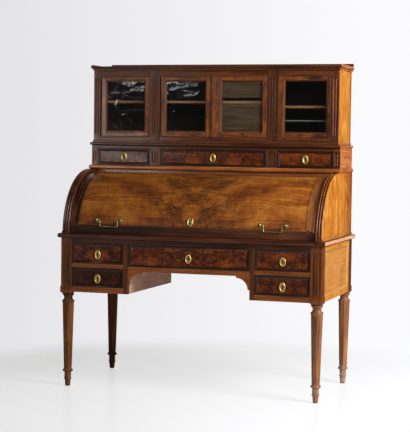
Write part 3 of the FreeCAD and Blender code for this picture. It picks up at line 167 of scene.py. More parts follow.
@dataclass
class Pattern:
    """Patterns over coordinates in metres: along, across and through a board, or over a piece."""

    tree: Tree
    at: Socket

    def clouds(self, size: Point, detail: float = 3, distortion: float = 0, roughness: float = 0.5) -> Socket:
        """Draws clouds, or streaks where they are long.

        Args:
            size: their length and width in millimetres.
            detail: how many finer layers they hold.
            distortion: how far they swirl.
            roughness: how strong the finer layers are.

        Returns:
            Their value, from 0 to 1.
        """
        scaled = put(self.tree, "VectorMath", (self.at, per_metre(size)), operation="MULTIPLY")
        return put(self.tree, "TexNoise", {"Vector": scaled, "Scale": 1.0, "Detail": detail,
                                           "Distortion": distortion, "Roughness": roughness})

    def warp(self, size: float, reach: float) -> None:
        """Bends the coordinates by clouds.

        Args:
            size: the clouds' size in millimetres.
            reach: how far they bend, in millimetres.
        """
        scaled = put(self.tree, "VectorMath", (self.at, per_metre((size, size))), operation="MULTIPLY")
        cloud = put(self.tree, "TexNoise", {"Vector": scaled, "Scale": 1.0, "Detail": 3.0}, out="Color")
        centred = put(self.tree, "VectorMath", (cloud, (0.5, 0.5, 0.5)), operation="SUBTRACT")
        bend = (centred, (reach * MM,) * 3, self.at)
        self.at = put(self.tree, "VectorMath", bend, operation="MULTIPLY_ADD")

    def fold(self, size: float = 260, reach: float = 26) -> None:
        """Mirrors what follows at the centre, as leaves laid open like a book, at a joint that wavers.

        Args:
            size: how long the joint's waves are, in millimetres.
            reach: how far they go, in millimetres.
        """
        self.warp(size, reach)
        apart = put(self.tree, "SeparateXYZ", (self.at,)).node.outputs
        folded = put(self.tree, "Math", (apart["X"],), operation="ABSOLUTE")
        self.at = put(self.tree, "CombineXYZ", (folded, apart["Y"], apart["Z"]))


@dataclass(frozen=True)
class Finish:
    """A finish: what the real surface is, as one material."""

    name: str
    lay: Lay = Lay.LENGTH

    def material(self) -> bpy.types.Material:
        """Makes the material at first use.

        Returns:
            The material.
        """
        made = bpy.data.materials.get(self.name)
        if made is None:
            made = bpy.data.materials.new(self.name)
            made.use_nodes = True
            made.node_tree.nodes.clear()
            put(made.node_tree, "OutputMaterial", {"Surface": self.surface(made.node_tree)})
        return made

    def surface(self, tree: Tree) -> Socket:
        """The shader's output in a material's node tree."""
        raise NotImplementedError


@dataclass(frozen=True)
class Timber(Finish):
    """Straight-grained timber, polished or bare: streaks along the board, open pores, rubbed arrises."""

    colours: tuple[str, str, str] = ("#3a1d0e", "#6b3a1c", "#8a5228")
    rubbed: str = "#9a6a40"
    streak: Point = (260, 9)
    figure: Point = (420, 60)
    # A pore is about 0.2 mm wide in the wood, and is drawn longer and wider so that it shows.
    pore: Point = (14, 1.1)
    pore_depth: float = 0.15
    wear: Point = (60, 40)
    # Within this many millimetres of a hollow the wood goes dark towards the colour below, partly by soiling
    # and partly as painted shade; that colour also takes the painted shade given per board.
    hollow: float = 16
    soot_and_shade: str = "#180b06"
    grime_and_shade: float = 0.8
    roughness: float = 0.36
    gloss: float = 0.22
    coat: float = 0.3

    def surface(self, tree: Tree) -> Socket:
        """Lays streaks over broad figure, with open pores, hollows darkened by soiling and painted shade,
        painted shade given per board, and arrises rubbed pale.

        Args:
            tree: the material's node tree.

        Returns:
            The shader's output.
        """
        grain = Pattern(tree, put(tree, "Attribute", out="Vector", attribute_name="grain"))
        streaks = grain.clouds(self.streak, detail=5, distortion=0.5, roughness=0.6)
        figure = grain.clouds(self.figure, detail=2, distortion=1.2)
        fine = put(tree, "Math", (streaks, 0.55), operation="MULTIPLY")
        tone = put(tree, "Math", (figure, 0.45, fine), operation="MULTIPLY_ADD")
        colour = put(tree, "ValToRGB", (tone,), stops=zip((0.34, 0.5, 0.68), self.colours))
        pores = put(tree, "MapRange", (grain.clouds(self.pore, detail=1), 0.6, 0.72), **SMOOTH)
        inked = put(tree, "Math", (pores, 0.45), operation="MULTIPLY")
        ink = linear(self.colours[0])
        colour = put(tree, "Mix", {0: inked, 6: colour, 7: ink}, blend_type="MULTIPLY", **COLOURS)
        # Arrises rubbed pale by wear; on the flank finishes the pale arris is also a painted highlight.
        worn = put(tree, "Attribute", out="Fac", attribute_name="worn")
        patchy = put(tree, "MapRange", (grain.clouds(self.wear, detail=2), 0.35, 0.65, 0.15, 0.75), **SMOOTH)
        rubbed = put(tree, "Math", (worn, patchy), operation="MULTIPLY")
        colour = put(tree, "Mix", {0: rubbed, 6: colour, 7: linear(self.rubbed)}, **COLOURS)
        # Dark in hollows and corners, partly soiling and partly painted shade, and dark where a board is
        # given painted shade.
        open_air = put(tree, "AmbientOcclusion", {"Distance": self.hollow * MM}, out="AO", samples=6)
        dirt_and_shade = put(tree, "MapRange", (open_air, 0.3, 0.85, self.grime_and_shade, 0.0), **SMOOTH)
        age = put(tree, "Attribute", out="Fac", attribute_name="age")
        uneven = put(tree, "MapRange", (tone, 0.35, 0.65, 1.25, 0.75), **SMOOTH)
        shaded = put(tree, "Math", (age, uneven), operation="MULTIPLY")
        shade_share = put(tree, "Math", (dirt_and_shade, shaded), operation="MAXIMUM", use_clamp=True)
        colour = put(tree, "Mix", {0: shade_share, 6: colour, 7: linear(self.soot_and_shade)}, **COLOURS)
        low, high = self.roughness - 0.06, self.roughness + 0.08
        dull = put(tree, "MapRange", (figure, 0.3, 0.7, low, high), **SMOOTH)
        sunk = put(tree, "Math", (pores, -0.7), operation="MULTIPLY")
        relief = put(tree, "Math", (streaks, 0.3, sunk), operation="MULTIPLY_ADD")
        bump = put(tree, "Bump", {"Height": relief, "Strength": 0.25, "Distance": self.pore_depth * MM})
        return put(tree, "BsdfPrincipled", {
            "Base Color": colour, "Roughness": dull, "Normal": bump, "Specular IOR Level": self.gloss,
            "Coat Weight": self.coat, "Coat Roughness": 0.14})


@dataclass(frozen=True)
class Burr(Finish):
    """Burr walnut leaves laid in matched pairs: knots, swirls and dark eyes under polish."""

    lay: Lay = Lay.FRONT
    colours: tuple[str, str, str, str] = ("#140703", "#321507", "#5e2a0e", "#8e4a18")
    patch: str = "#98491a"
    patches: Point = (110, 80)
    swirls: tuple[Point, ...] = ((48, 46), (14, 12))
    figure: Point = (19, 14)
    # Eyes stand this far apart. Each is drawn some millimetres wider than in the wood so that it shows.
    eye: Point = (15, 15)
    cluster: Point = (60, 60)
    hollow: float = 14

    def surface(self, tree: Tree) -> Socket:
        """Swirls clouds with eyes in clusters, mirrored at the joint of the two leaves.

        Args:
            tree: the material's node tree.

        Returns:
            The shader's output.
        """
        grain = Pattern(tree, put(tree, "Attribute", out="Vector", attribute_name="grain"))
        grain.fold()
        broad = grain.clouds(self.patches, detail=2, distortion=0.6)
        patches = put(tree, "MapRange", (broad, 0.48, 0.66, 0.0, 0.7), **SMOOTH)
        for size, reach in self.swirls:
            grain.warp(size, reach)
        figure = grain.clouds(self.figure, detail=7, roughness=0.7)
        colour = put(tree, "ValToRGB", (figure,), stops=zip((0.3, 0.45, 0.58, 0.74), self.colours))
        lit = put(tree, "Math", (patches, figure), operation="MULTIPLY")
        colour = put(tree, "Mix", {0: lit, 6: colour, 7: linear(self.patch)}, **COLOURS)
        scaled = put(tree, "VectorMath", (grain.at, per_metre(self.eye)), operation="MULTIPLY")
        cells = put(tree, "TexVoronoi", {"Vector": scaled, "Scale": 1.0}, out="Distance")
        clusters = put(tree, "MapRange", (grain.clouds(self.cluster, detail=1), 0.48, 0.62), **SMOOTH)
        eyes = put(tree, "MapRange", (cells, 0.1, 0.3, 0.75, 0.0), **SMOOTH)
        spots = put(tree, "Math", (eyes, clusters), operation="MULTIPLY")
        dark = linear(self.colours[0])
        colour = put(tree, "Mix", {0: spots, 6: colour, 7: dark}, **COLOURS)
        # Dark in hollows and corners, partly soiling and partly painted shade, and dark where a board is
        # given painted shade, both in the colour of the eyes.
        open_air = put(tree, "AmbientOcclusion", {"Distance": self.hollow * MM}, out="AO", samples=6)
        dirt_and_shade = put(tree, "MapRange", (open_air, 0.45, 0.95, 0.85, 0.0), **SMOOTH)
        age = put(tree, "Attribute", out="Fac", attribute_name="age")
        shade_share = put(tree, "Math", (dirt_and_shade, age), operation="MAXIMUM", use_clamp=True)
        colour = put(tree, "Mix", {0: shade_share, 6: colour, 7: dark}, **COLOURS)
        dull = put(tree, "MapRange", (figure, 0.3, 0.7, 0.42, 0.34), **SMOOTH)
        return put(tree, "BsdfPrincipled", {
            "Base Color": colour, "Roughness": dull, "Specular IOR Level": 0.12, "Coat Weight": 0.4,
            "Coat Roughness": 0.15})


@dataclass(frozen=True)
class Flame(Finish):
    """Figured walnut round the cylinder: golden streaks with a dark flame at the matched joint."""

    lay: Lay = Lay.ROLL
    colours: tuple[str, str, str] = ("#4e240b", "#8a4a16", "#b8762c")
    # The smoke's colour, which also takes the painted shade.
    flame: str = "#241006"
    streak: Point = (300, 7)
    broad: Point = (240, 70)
    mottle: Point = (26, 60)
    bend: Point = (220, 60)
    slant: float = -38
    swirls: tuple[Point, ...] = ((150, 90), (40, 22))
    fog: Point = (240, 62)
    vein: Point = (170, 26)
    cluster: Point = (120, 70)
    reach: Point = (20, 420)
    hollow: float = 60

    def surface(self, tree: Tree) -> Socket:
        """Lays level streaks over cross mottle, and smoke with fine veins round the matched joint.

        Args:
            tree: the material's node tree.

        Returns:
            The shader's output.
        """
        grain = Pattern(tree, put(tree, "Attribute", out="Vector", attribute_name="grain"))
        grain.fold()
        side = put(tree, "SeparateXYZ", (grain.at,), out="X")
        grain.warp(*self.bend)
        streaks = grain.clouds(self.streak, detail=5, distortion=0.3, roughness=0.62)
        broad = grain.clouds(self.broad, detail=4, distortion=0.8)
        mottle = grain.clouds(self.mottle, detail=3, roughness=0.6)
        fine = put(tree, "Math", (streaks, 0.36), operation="MULTIPLY")
        both = put(tree, "Math", (broad, 0.46, fine), operation="MULTIPLY_ADD")
        tone = put(tree, "Math", (mottle, 0.18, both), operation="MULTIPLY_ADD")
        colour = put(tree, "ValToRGB", (tone,), stops=zip((0.36, 0.5, 0.64), self.colours))
        near, far = (edge * MM for edge in self.reach)
        close = put(tree, "MapRange", (side, near, far, 1.0, 0.14), **SMOOTH)
        grain.at = put(tree, "VectorRotate", {"Vector": grain.at, "Angle": math.radians(self.slant)},
                       rotation_type="Z_AXIS")
        for size, reach in self.swirls:
            grain.warp(size, reach)
        fog = put(tree, "MapRange", (grain.clouds(self.fog, detail=6, roughness=0.64), 0.4, 0.64), **SMOOTH)
        level = grain.clouds(self.vein, detail=5, roughness=0.6)
        around = put(tree, "Math", (level, 0.5), operation="SUBTRACT")
        off = put(tree, "Math", (around,), operation="ABSOLUTE")
        veins = put(tree, "MapRange", (off, 0.0, 0.06, 1.0, 0.0), **SMOOTH)
        thick = put(tree, "MapRange", (grain.clouds(self.cluster, detail=2), 0.38, 0.55), **SMOOTH)
        drawn = put(tree, "Math", (veins, thick), operation="MULTIPLY")
        grey = put(tree, "Math", (fog, 0.7), operation="MULTIPLY")
        smoke = put(tree, "Math", (drawn, 0.5, grey), operation="MULTIPLY_ADD")
        share = put(tree, "Math", (smoke, close), operation="MULTIPLY", use_clamp=True)
        burnt = put(tree, "Math", (share, 0.88), operation="MULTIPLY")
        dark = linear(self.flame)
        colour = put(tree, "Mix", {0: burnt, 6: colour, 7: dark}, **COLOURS)
        # Dark in the hollows, as under the fascia, partly soiling and partly painted shade; the painted shade
        # given per board, darker to the left, adds three tenths of its weight.
        open_air = put(tree, "AmbientOcclusion", {"Distance": self.hollow * MM}, out="AO", samples=6)
        dirt_and_shade = put(tree, "MapRange", (open_air, 0.2, 0.8, 0.7, 0.0), **SMOOTH)
        age = put(tree, "Attribute", out="Fac", attribute_name="age")
        shade_share = put(tree, "Math", (age, 0.3, dirt_and_shade), operation="MULTIPLY_ADD", use_clamp=True)
        colour = put(tree, "Mix", {0: shade_share, 6: colour, 7: dark}, **COLOURS)
        dull = put(tree, "MapRange", (tone, 0.3, 0.7, 0.48, 0.4), **SMOOTH)
        return put(tree, "BsdfPrincipled", {
            "Base Color": colour, "Roughness": dull, "Specular IOR Level": 0.25, "Coat Weight": 0.3,
            "Coat Roughness": 0.18})


@dataclass(frozen=True)
class Brass(Finish):
    """Yellow metal clouded with tarnish: brown and rough in the clouds, bright and smoother between."""

    bright: str = "#d9b866"
    tarnish: str = "#6e5a30"
    roughness: float = 0.3
    cloud: Point = (9, 9)

    def surface(self, tree: Tree) -> Socket:
        """Clouds the metal with tarnish.

        Args:
            tree: the material's node tree.

        Returns:
            The shader's output.
        """
        metal = Pattern(tree, put(tree, "TexCoord", out="Object"))
        clouds = metal.clouds(self.cloud, detail=4, roughness=0.6)
        colour = put(tree, "ValToRGB", (clouds,), stops=((0.36, self.tarnish), (0.62, self.bright)))
        rough, smooth = self.roughness + 0.14, self.roughness - 0.05
        dull = put(tree, "MapRange", (clouds, 0.3, 0.7, rough, smooth), **SMOOTH)
        return put(tree, "BsdfPrincipled", {"Base Color": colour, "Metallic": 1.0, "Roughness": dull})


@dataclass(frozen=True)
class Iron(Finish):
    """Oiled iron and steel: dark, with a low sheen."""

    colour: str = "#3a3835"
    metallic: float = 1.0
    cloud: Point = (6, 6)

    def surface(self, tree: Tree) -> Socket:
        """Mottles even dark metal with old oil.

        Args:
            tree: the material's node tree.

        Returns:
            The shader's output.
        """
        clouds = Pattern(tree, put(tree, "TexCoord", out="Object")).clouds(self.cloud)
        oil = put(tree, "MapRange", (clouds, 0.35, 0.65, 0.38, 0.55), **SMOOTH)
        return put(tree, "BsdfPrincipled", {
            "Base Color": linear(self.colour), "Metallic": self.metallic, "Roughness": oil})


@dataclass(frozen=True)
class SheetGlass(Finish):
    """Old drawn sheet glass: clear, with slow waves that break up what it mirrors."""

    tint: str = "#eef0ec"
    wave: Point = (142.5, 95)
    wave_height: float = 1.1
    head_on: float = 0.04
    reflection_veil: float = 0.0
    reflection_veil_colour: str = "#b89a78"
    veil_streak: Point = (110, 7)
    clear_band: Point = (0.0, 0.0)
    clear_band_edge: float = 3.0

    def surface(self, tree: Tree) -> Socket:
        """Makes a clear pane whose mirror's share grows as the view gets flatter, alike on both faces.

        Args:
            tree: the material's node tree.

        Returns:
            The shader's output.
        """
        sheet = Pattern(tree, put(tree, "TexCoord", out="Object"))
        waves = sheet.clouds(self.wave, detail=2, distortion=1.8, roughness=0.4)
        bump = put(tree, "Bump", {"Height": waves, "Strength": 1.0, "Distance": self.wave_height * MM})
        facing = put(tree, "LayerWeight", {"Blend": 0.5, "Normal": bump}, out="Facing")
        steep = put(tree, "Math", (facing, 5.0), operation="POWER")
        mirror = put(tree, "Math", (steep, 1 - self.head_on, self.head_on), operation="MULTIPLY_ADD")
        pane = put(tree, "BsdfTransparent", {"Color": linear(self.tint)})
        # A grey-brown diffuse veil over the pane: a painted reflection.
        if self.reflection_veil:
            veil_shader = put(tree, "BsdfDiffuse", {"Color": linear(self.reflection_veil_colour)})
            pane = put(tree, "MixShader", (self.veil_share(tree, sheet), pane, veil_shader))
        gloss = put(tree, "BsdfAnisotropic", {"Roughness": 0.05, "Normal": bump})
        return put(tree, "MixShader", (mirror, pane, gloss))

    def veil_share(self, tree: Tree, sheet: Pattern) -> Socket:
        """Spreads the painted reflection's veil over the pane but for a clear strip.

        Args:
            tree: the material's node tree.
            sheet: the patterns over the pane.

        Returns:
            The veil's share.
        """
        veil_streaks = sheet.clouds(self.veil_streak, detail=3, roughness=0.6)
        veil_share = put(tree, "MapRange", (veil_streaks, 0.35, 0.65, self.reflection_veil * 0.5, self.reflection_veil * 1.5), **SMOOTH)
        level = put(tree, "SeparateXYZ", (sheet.at,), out="Z")
        low, high = (edge * MM for edge in self.clear_band)
        under = put(tree, "MapRange", (level, low - self.clear_band_edge * MM, low, 1.0, 0.0), **SMOOTH)
        over = put(tree, "MapRange", (level, high, high + self.clear_band_edge * MM), **SMOOTH)
        left = put(tree, "Math", (under, over), operation="MAXIMUM")
        return put(tree, "Math", (veil_share, left), operation="MULTIPLY")


@dataclass(frozen=True)
class Leather(Finish):
    """A dyed and waxed skiver: fine pebbled grain, browner where ink and hands have been."""

    colour: str = "#2f3d24"
    worn: str = "#4a4a2c"
    wear: Point = (140, 140)
    # A pebble is about half a millimetre wide in the skin, and is drawn wider so that it shows.
    pebble: Point = (1.6, 1.6)
    pebble_height: float = 0.2

    def surface(self, tree: Tree) -> Socket:
        """Pebbles the skin under a soft sheen.

        Args:
            tree: the material's node tree.

        Returns:
            The shader's output.
        """
        skin = Pattern(tree, put(tree, "TexCoord", out="Object"))
        wear = put(tree, "MapRange", (skin.clouds(self.wear, detail=4), 0.4, 0.65), **SMOOTH)
        colour = put(tree, "Mix", {0: wear, 6: linear(self.colour), 7: linear(self.worn)}, **COLOURS)
        scaled = put(tree, "VectorMath", (skin.at, per_metre(self.pebble)), operation="MULTIPLY")
        pebbles = put(tree, "TexVoronoi", {"Vector": scaled, "Scale": 1.0}, out="Distance")
        bump = put(tree, "Bump", {"Height": pebbles, "Strength": 0.4, "Distance": self.pebble_height * MM})
        return put(tree, "BsdfPrincipled", {"Base Color": colour, "Roughness": 0.48, "Normal": bump})


@dataclass(frozen=True)
class Paper(Finish):
    """White studio paper under the desk, fading at its rim into the white behind it; lengths in metres."""

    white: str = "#dcdcdc"
    shadow: str = "#7c7c7e"
    # The glow goes darker to the left: painted light, as the key lamp at the right falls off across the
    # paper.
    levels: tuple[str, str] = ("#c6c5c3", "#ececee")
    left_to_right: Point = (-1.9, 1.5)
    rim: Point = (1.15, 1.85)
    sheen: float = 0.07

    def surface(self, tree: Tree) -> Socket:
        """Makes white paper for the light, and for the eye a level set by colour that still takes shadows.

        Args:
            tree: the material's node tree.

        Returns:
            The shader's output.
        """
        place = put(tree, "TexCoord", out="Object")
        paper = put(tree, "BsdfDiffuse", {"Color": linear(self.white)})
        shade = put(tree, "BsdfDiffuse", {"Color": linear(self.shadow)})
        side = put(tree, "SeparateXYZ", (place,), out="X")
        across = put(tree, "MapRange", (side, *self.left_to_right))
        level = put(tree, "ValToRGB", (across,), stops=zip((0.0, 1.0), self.levels))
        glow = put(tree, "Emission", {"Color": level})
        matt = put(tree, "AddShader", (glow, shade))
        gloss = put(tree, "BsdfAnisotropic", {"Roughness": 0.22})
        near = put(tree, "MixShader", (self.sheen, matt, gloss))
        far = put(tree, "BsdfTransparent")
        reach = put(tree, "VectorMath", (place,), out="Value", operation="LENGTH")
        fade = put(tree, "MapRange", (reach, *self.rim), **SMOOTH)
        seen = put(tree, "MixShader", (fade, near, far))
        rays = put(tree, "LightPath").node.outputs
        looks = put(tree, "Math", (rays["Is Camera Ray"], rays["Is Transmission Ray"]), operation="ADD")
        return put(tree, "MixShader", (looks, paper, seen))


# Shellac over straight walnut: red-brown, streaked along each board, pale where arrises are rubbed.
FRONT = Timber("walnut, french polished, red-brown", colours=("#48200c", "#783e17", "#945422"), coat=0.45)
# The same, rubbed bright by sleeves: a lighter board.
FASCIA = Timber("walnut, french polished, rubbed bright", colours=("#5c2e14", "#925228", "#b4763e"),
                gloss=0.12, coat=0.45)
# The roll's stiles, bent and veneered along the curve: as bright, and smoother; the brightness is partly
# lighter veneer and partly a painted highlight.
STILE = Timber("walnut veneer along the roll's edge", lay=Lay.CURVE,
               colours=("#62361c", "#92582f", "#ae7444"), figure=(200, 50), soot_and_shade="#1c0c06", coat=0.45)
# The same wood under more coats: browner and deeper.
UPPER = Timber("walnut, french polished, deep brown", colours=("#260f06", "#4c250d", "#6e3c15"),
               rubbed="#8a5a34", roughness=0.44, gloss=0.15, coat=0.38)
# Polish gone dark with soiling, as on mouldings: nearly black in the hollows, partly as painted shade. On the
# base's top rail, under the moulding, this darkness is painted shade.
DARK = Timber("walnut, old polish gone dark", colours=("#220d05", "#421c0a", "#602f13"), rubbed="#8a5a34",
              coat=0.35)
# Beads round the drawers, made near black as painted shade in the recess: a dark line round each veneer.
RIM = Timber("walnut bead, near black as painted shade", colours=("#140803", "#241006", "#381b0b"),
             rubbed="#5c3418", coat=0.3)
# Veneer cut across a crotch: short flames of orange on brown.
DOOR = Timber("walnut veneer on the door frames", colours=("#301408", "#603112", "#94501c"), streak=(90, 14),
              figure=(90, 60), rubbed="#7c4c2c", roughness=0.44, gloss=0.17, coat=0.5)
# Polish gone dull, as on the splays of the door frames and the bottom rail of the roll.
SPLAY = Timber("walnut, polish gone dull", colours=("#2a120a", "#4a2410", "#663818"), rubbed="#70441f",
               roughness=0.75, coat=0.0)
# Lighter copy of the walnut for the flanks, as painted light from the key lamp at the right: honey, with pale
# arrises as painted highlights, and darker red-brown where painted shade is given.
FLANK = Timber("walnut on the flanks, lightened as painted light", colours=("#8c4814", "#b06e24", "#c89044"),
               rubbed="#e2bc8c", figure=(150, 70), soot_and_shade="#6e2408", roughness=0.6, gloss=0.12, coat=0.0)
# Lighter copy of the deep brown for the flanks of the trim, as painted light: red-brown with orange in it.
RUSSET = Timber("walnut on the trim's flanks, lightened as painted light", colours=("#7a3a18", "#a25a2c", "#bc7a44"), rubbed="#e2c4a0",
                soot_and_shade="#5a2408", roughness=0.55, coat=0.1)
# Lighter copy for the flanks of the mouldings, as painted light: pale, a little pink, with pale arrises as
# painted highlights.
LIT_MOULDING = Timber("walnut moulding on the flanks, lightened as painted light", colours=("#a46c4c", "#c8946e", "#dcb08e"),
                  rubbed="#ecd2b4", soot_and_shade="#5a2c10", roughness=0.5, coat=0.1)
# Lighter copy for the sunk panel of a side, as painted light: pale gold.
PANEL = Timber("walnut panel on the flanks, lightened as painted light", colours=("#965d22", "#b07636", "#be8648"),
               rubbed="#dcb07c", soot_and_shade="#7a4014", figure=(240, 110), roughness=0.6, coat=0.0)
# Turned and waxed: browner, worn grey at the feet.
LEG = Timber("walnut, turned and waxed", colours=("#4c2a18", "#804e2b", "#a46e42"), rubbed="#a89b86",
             soot_and_shade="#120906", roughness=0.44, coat=0.2)
# The same for the legs given painted shade: no sheen, so their red shows, and their rubbed feet darker as
# painted shade.
LEG_DULL = Timber("walnut, turned, wax gone dull", colours=("#4c2a18", "#804e2b", "#a46e42"),
                  rubbed="#80664a", soot_and_shade="#120906", roughness=0.65, gloss=0.06, coat=0.0)
# Stained softwood, made near black as painted shade: the cabinet's inside and its lowest shelf, where little
# light gets in.
STAIN_AND_SHADE = Timber("softwood, stained and near black as painted shade", colours=("#140e0a", "#1e140e", "#2a1a12"), rubbed="#2a1a12",
               roughness=0.7, coat=0.0)
# The cabinet's top was never polished: grey-brown and matt under its dust.
DUSTY_TOP = Timber("walnut, unpolished and dusty", colours=("#43301f", "#644a34", "#806448"),
                   rubbed="#806448", roughness=0.9, gloss=0.1, coat=0.0)
# Plain beech shelves: pale edges behind the glass.
SHELF = Timber("beech, planed", colours=("#ab7047", "#bc815b", "#c6947a"), rubbed="#c6947a", grime_and_shade=0.0,
               roughness=0.55, coat=0.0)
# Grey paint on a shelf's edge: a thin cool line.
LIPPING = Timber("limewood lipping, painted grey", colours=("#80808a", "#8c8c96", "#9898a2"),
                 rubbed="#9898a2", grime_and_shade=0.0, roughness=0.6, coat=0.0)
# Bare oak of backs, runners and drawer boxes: pale, dusty and matt.
OAK = Timber("oak, bare and dusty", colours=("#7a5a38", "#9c7a50", "#b39468"), rubbed="#b89a70",
             streak=(320, 6), roughness=0.62, coat=0.0)
# Oak under the writing slide, dark as painted shade, so that its gaps look empty.
BED = Timber("oak under the slide, dark as painted shade", colours=("#2a1a10", "#40281a", "#543826"), rubbed="#543826", roughness=0.6,
             coat=0.0)
# Oak stained to go with the walnut: greyed brown.
KNEEHOLE = Timber("oak, stained brown", colours=("#8a6252", "#b88e78", "#d2aa90"), roughness=0.5, coat=0.1)
# Burr leaves: dark swirls and eyes with red-orange patches.
BURR = Burr("burr walnut, matched leaves")
# Figured leaves on the roll: golden, with smoke at the joint.
FLAME = Flame("figured walnut, matched leaves")
# Lacquer gone brown in the dish of an escutcheon: the rim round it looks brighter.
DISH = Brass("brass, cast, lacquer gone brown", bright="#9a7a40", tarnish="#5a4420", roughness=0.5)
# Lacquered castings: warm gold with brown in the hollows.
BRASS = Brass("brass, cast and lacquered", bright="#f2d48a", tarnish="#b08c4a", roughness=0.42)
# Bare drawn rod: olive, dulled by hands.
HANDLE_BRASS = Brass("brass, drawn and dulled by hands", bright="#c8b878", tarnish="#7a6c40", roughness=0.38)
# Turned steel: grey with a low sheen.
STEEL = Iron("steel, turned and oiled", colour="#6a6a68")
# A black well behind the keyhole: painted shade down the hole.
KEYHOLE_SHADE = Iron("iron of the lock, seen down the keyhole", colour="#0c0a09", metallic=0.0)
# Drawn sheet: clear, its mirror images broken by slow waves.
GLASS = SheetGlass("old drawn sheet glass")
# The same with a grey-brown veil over the pane, a painted reflection, clear in a strip over the shelf: what
# lies behind it goes grey-brown.
VEILED_GLASS = SheetGlass("old drawn sheet glass, veiled by a painted reflection", reflection_veil=0.07, clear_band=(1474, 1486))
# Waxed skiver: deep green, pebbled, browner where it is worn.
LEATHER = Leather("leather skiver, dyed green and waxed")
# Gold leaf: a thin bright line.
GILT = Brass("gold leaf tooled into leather", bright="#c8a04a", tarnish="#9a7a3a", roughness=0.4)
# Dyed pearwood: a black line.
STRINGING = Timber("pearwood stringing, dyed black", colours=("#0c0605", "#160b08", "#20100a"),
                   rubbed="#2a150c", coat=0.2)


@dataclass
class Solid:
    """One solid of a CAD node: its corners in metres and its triangles."""

    points: np.ndarray
    triangles: np.ndarray
    low: np.ndarray = field(init=False)
    high: np.ndarray = field(init=False)

    def __post_init__(self) -> None:
        """Keeps the corners of the solid's box."""
        self.low = self.points.min(axis=0)
        self.high = self.points.max(axis=0)

    def axes(self, along: Optional[Axis]) -> list[int]:
        """Orders the axes along, across and through the board by its sides' lengths.

        Args:
            along: the axis that the grain follows, where it isn't the longest.

        Returns:
            The three axes' numbers.
        """
        order = sorted(range(3), key=lambda i: self.low[i] - self.high[i])
        if along is not None:
            order.remove(along.value)
            order.insert(0, along.value)
        return order


Chooser = Callable[[Solid, Vector, Vector], Finish]
Weight = Callable[[Vector], float]


def welded(node: str) -> tuple[np.ndarray, np.ndarray]:
    """Welds a CAD node's corners.

    Args:
        node: the node's name.

    Returns:
        Its corners, each once, and its triangles.
    """
    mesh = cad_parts[node].data
    mesh.calc_loop_triangles()
    corners = np.empty(len(mesh.vertices) * 3)
    mesh.vertices.foreach_get("co", corners)
    triangles = np.empty(len(mesh.loop_triangles) * 3, dtype=np.int32)
    mesh.loop_triangles.foreach_get("vertices", triangles)
    corners = corners.reshape(-1, 3)
    _, first, same = np.unique(np.round(corners * MICRONS).astype(np.int64), axis=0,
                               return_index=True, return_inverse=True)
    triangles = same.reshape(-1)[triangles].reshape(-1, 3)
    whole = (triangles != np.roll(triangles, 1, axis=1)).all(axis=1)
    return corners[first], triangles[whole]


def round_edge(corners: np.ndarray, triangles: np.ndarray, edge: np.ndarray,
               faces: Iterable[int]) -> list[tuple[int, int]]:
    """Pairs the triangles that meet at an edge, where several solids touch, by the solid between them.

    Args:
        corners: the node's corners.
        triangles: its triangles.
        edge: the edge's two corners.
        faces: the triangles at the edge.

    Returns:
        Pairs of triangles of one solid.
    """
    start, end = edge
    axis = corners[end] - corners[start]
    axis = axis / np.linalg.norm(axis)
    opens, closes = [], []
    level = None
    for face in faces:
        turn = list(triangles[face])
        far = corners[next(i for i in turn if i not in edge)] - corners[start]
        away = far - axis * far.dot(axis)
        level = away if level is None else level
        angle = math.atan2(axis.dot(np.cross(level, away)), level.dot(away))
        runs_along = turn[(turn.index(start) + 1) % 3] == end
        (closes if runs_along else opens).append((angle, int(face)))
    pairs = []
    for angle, face in opens:
        gaps = [((other - angle - SAME_ANGLE) % math.tau, partner) for other, partner in closes]
        pairs.append((face, min(gaps)[1]))
    return pairs


def solids_of(node: str) -> list[Solid]:
    """Parts a CAD node's triangles into its closed solids.

    Args:
        node: the node's name.

    Returns:
        Its solids.
    """
    corners, triangles = welded(node)
    sides = np.concatenate([triangles[:, [0, 1]], triangles[:, [1, 2]], triangles[:, [2, 0]]])
    edges, number, count = np.unique(np.sort(sides, axis=1), axis=0, return_inverse=True, return_counts=True)
    order = np.argsort(number.reshape(-1), kind="stable") % len(triangles)
    starts = np.concatenate([[0], np.cumsum(count)])
    leader = list(range(len(triangles)))

    def find(i: int) -> int:
        """Finds the triangle that stands for a triangle's solid.

        Args:
            i: the triangle's number.

        Returns:
            The number of the one that stands for it.
        """
        while leader[i] != i:
            leader[i] = leader[leader[i]]
            i = leader[i]
        return i

    for i, edge in enumerate(edges):
        faces = order[starts[i]:starts[i + 1]]
        pairs = [tuple(faces)] if count[i] == 2 else round_edge(corners, triangles, edge, faces)
        for one, other in pairs:
            leader[find(int(one))] = find(int(other))
    groups: dict[int, list[int]] = {}
    for i in range(len(triangles)):
        groups.setdefault(find(i), []).append(i)
    solids = []
    for members in groups.values():
        used, numbers = np.unique(triangles[members], return_inverse=True)
        solids.append(Solid(corners[used], numbers.reshape(-1, 3)))
    return solids


def nowhere(point: Vector) -> float:
    """No weight at any point."""
    return 0.0


def ramp(value: float, start: float, end: float) -> float:
    """How far a value has gone from a start to an end, smoothly from 0 to 1."""
    share = min(max((value - start) / (end - start), 0.0), 1.0)
    return share * share * (3 - 2 * share)


@dataclass(frozen=True)
class Fade:
    """A weight that grows along an axis, from 0 at a start to a depth at an end, both in millimetres."""

    axis: Axis
    start: float
    end: float
    depth: float

    def __call__(self, point: Vector) -> float:
        """The weight at a point of the row frame."""
        return self.depth * ramp(point[self.axis.value], self.start * MM, self.end * MM)


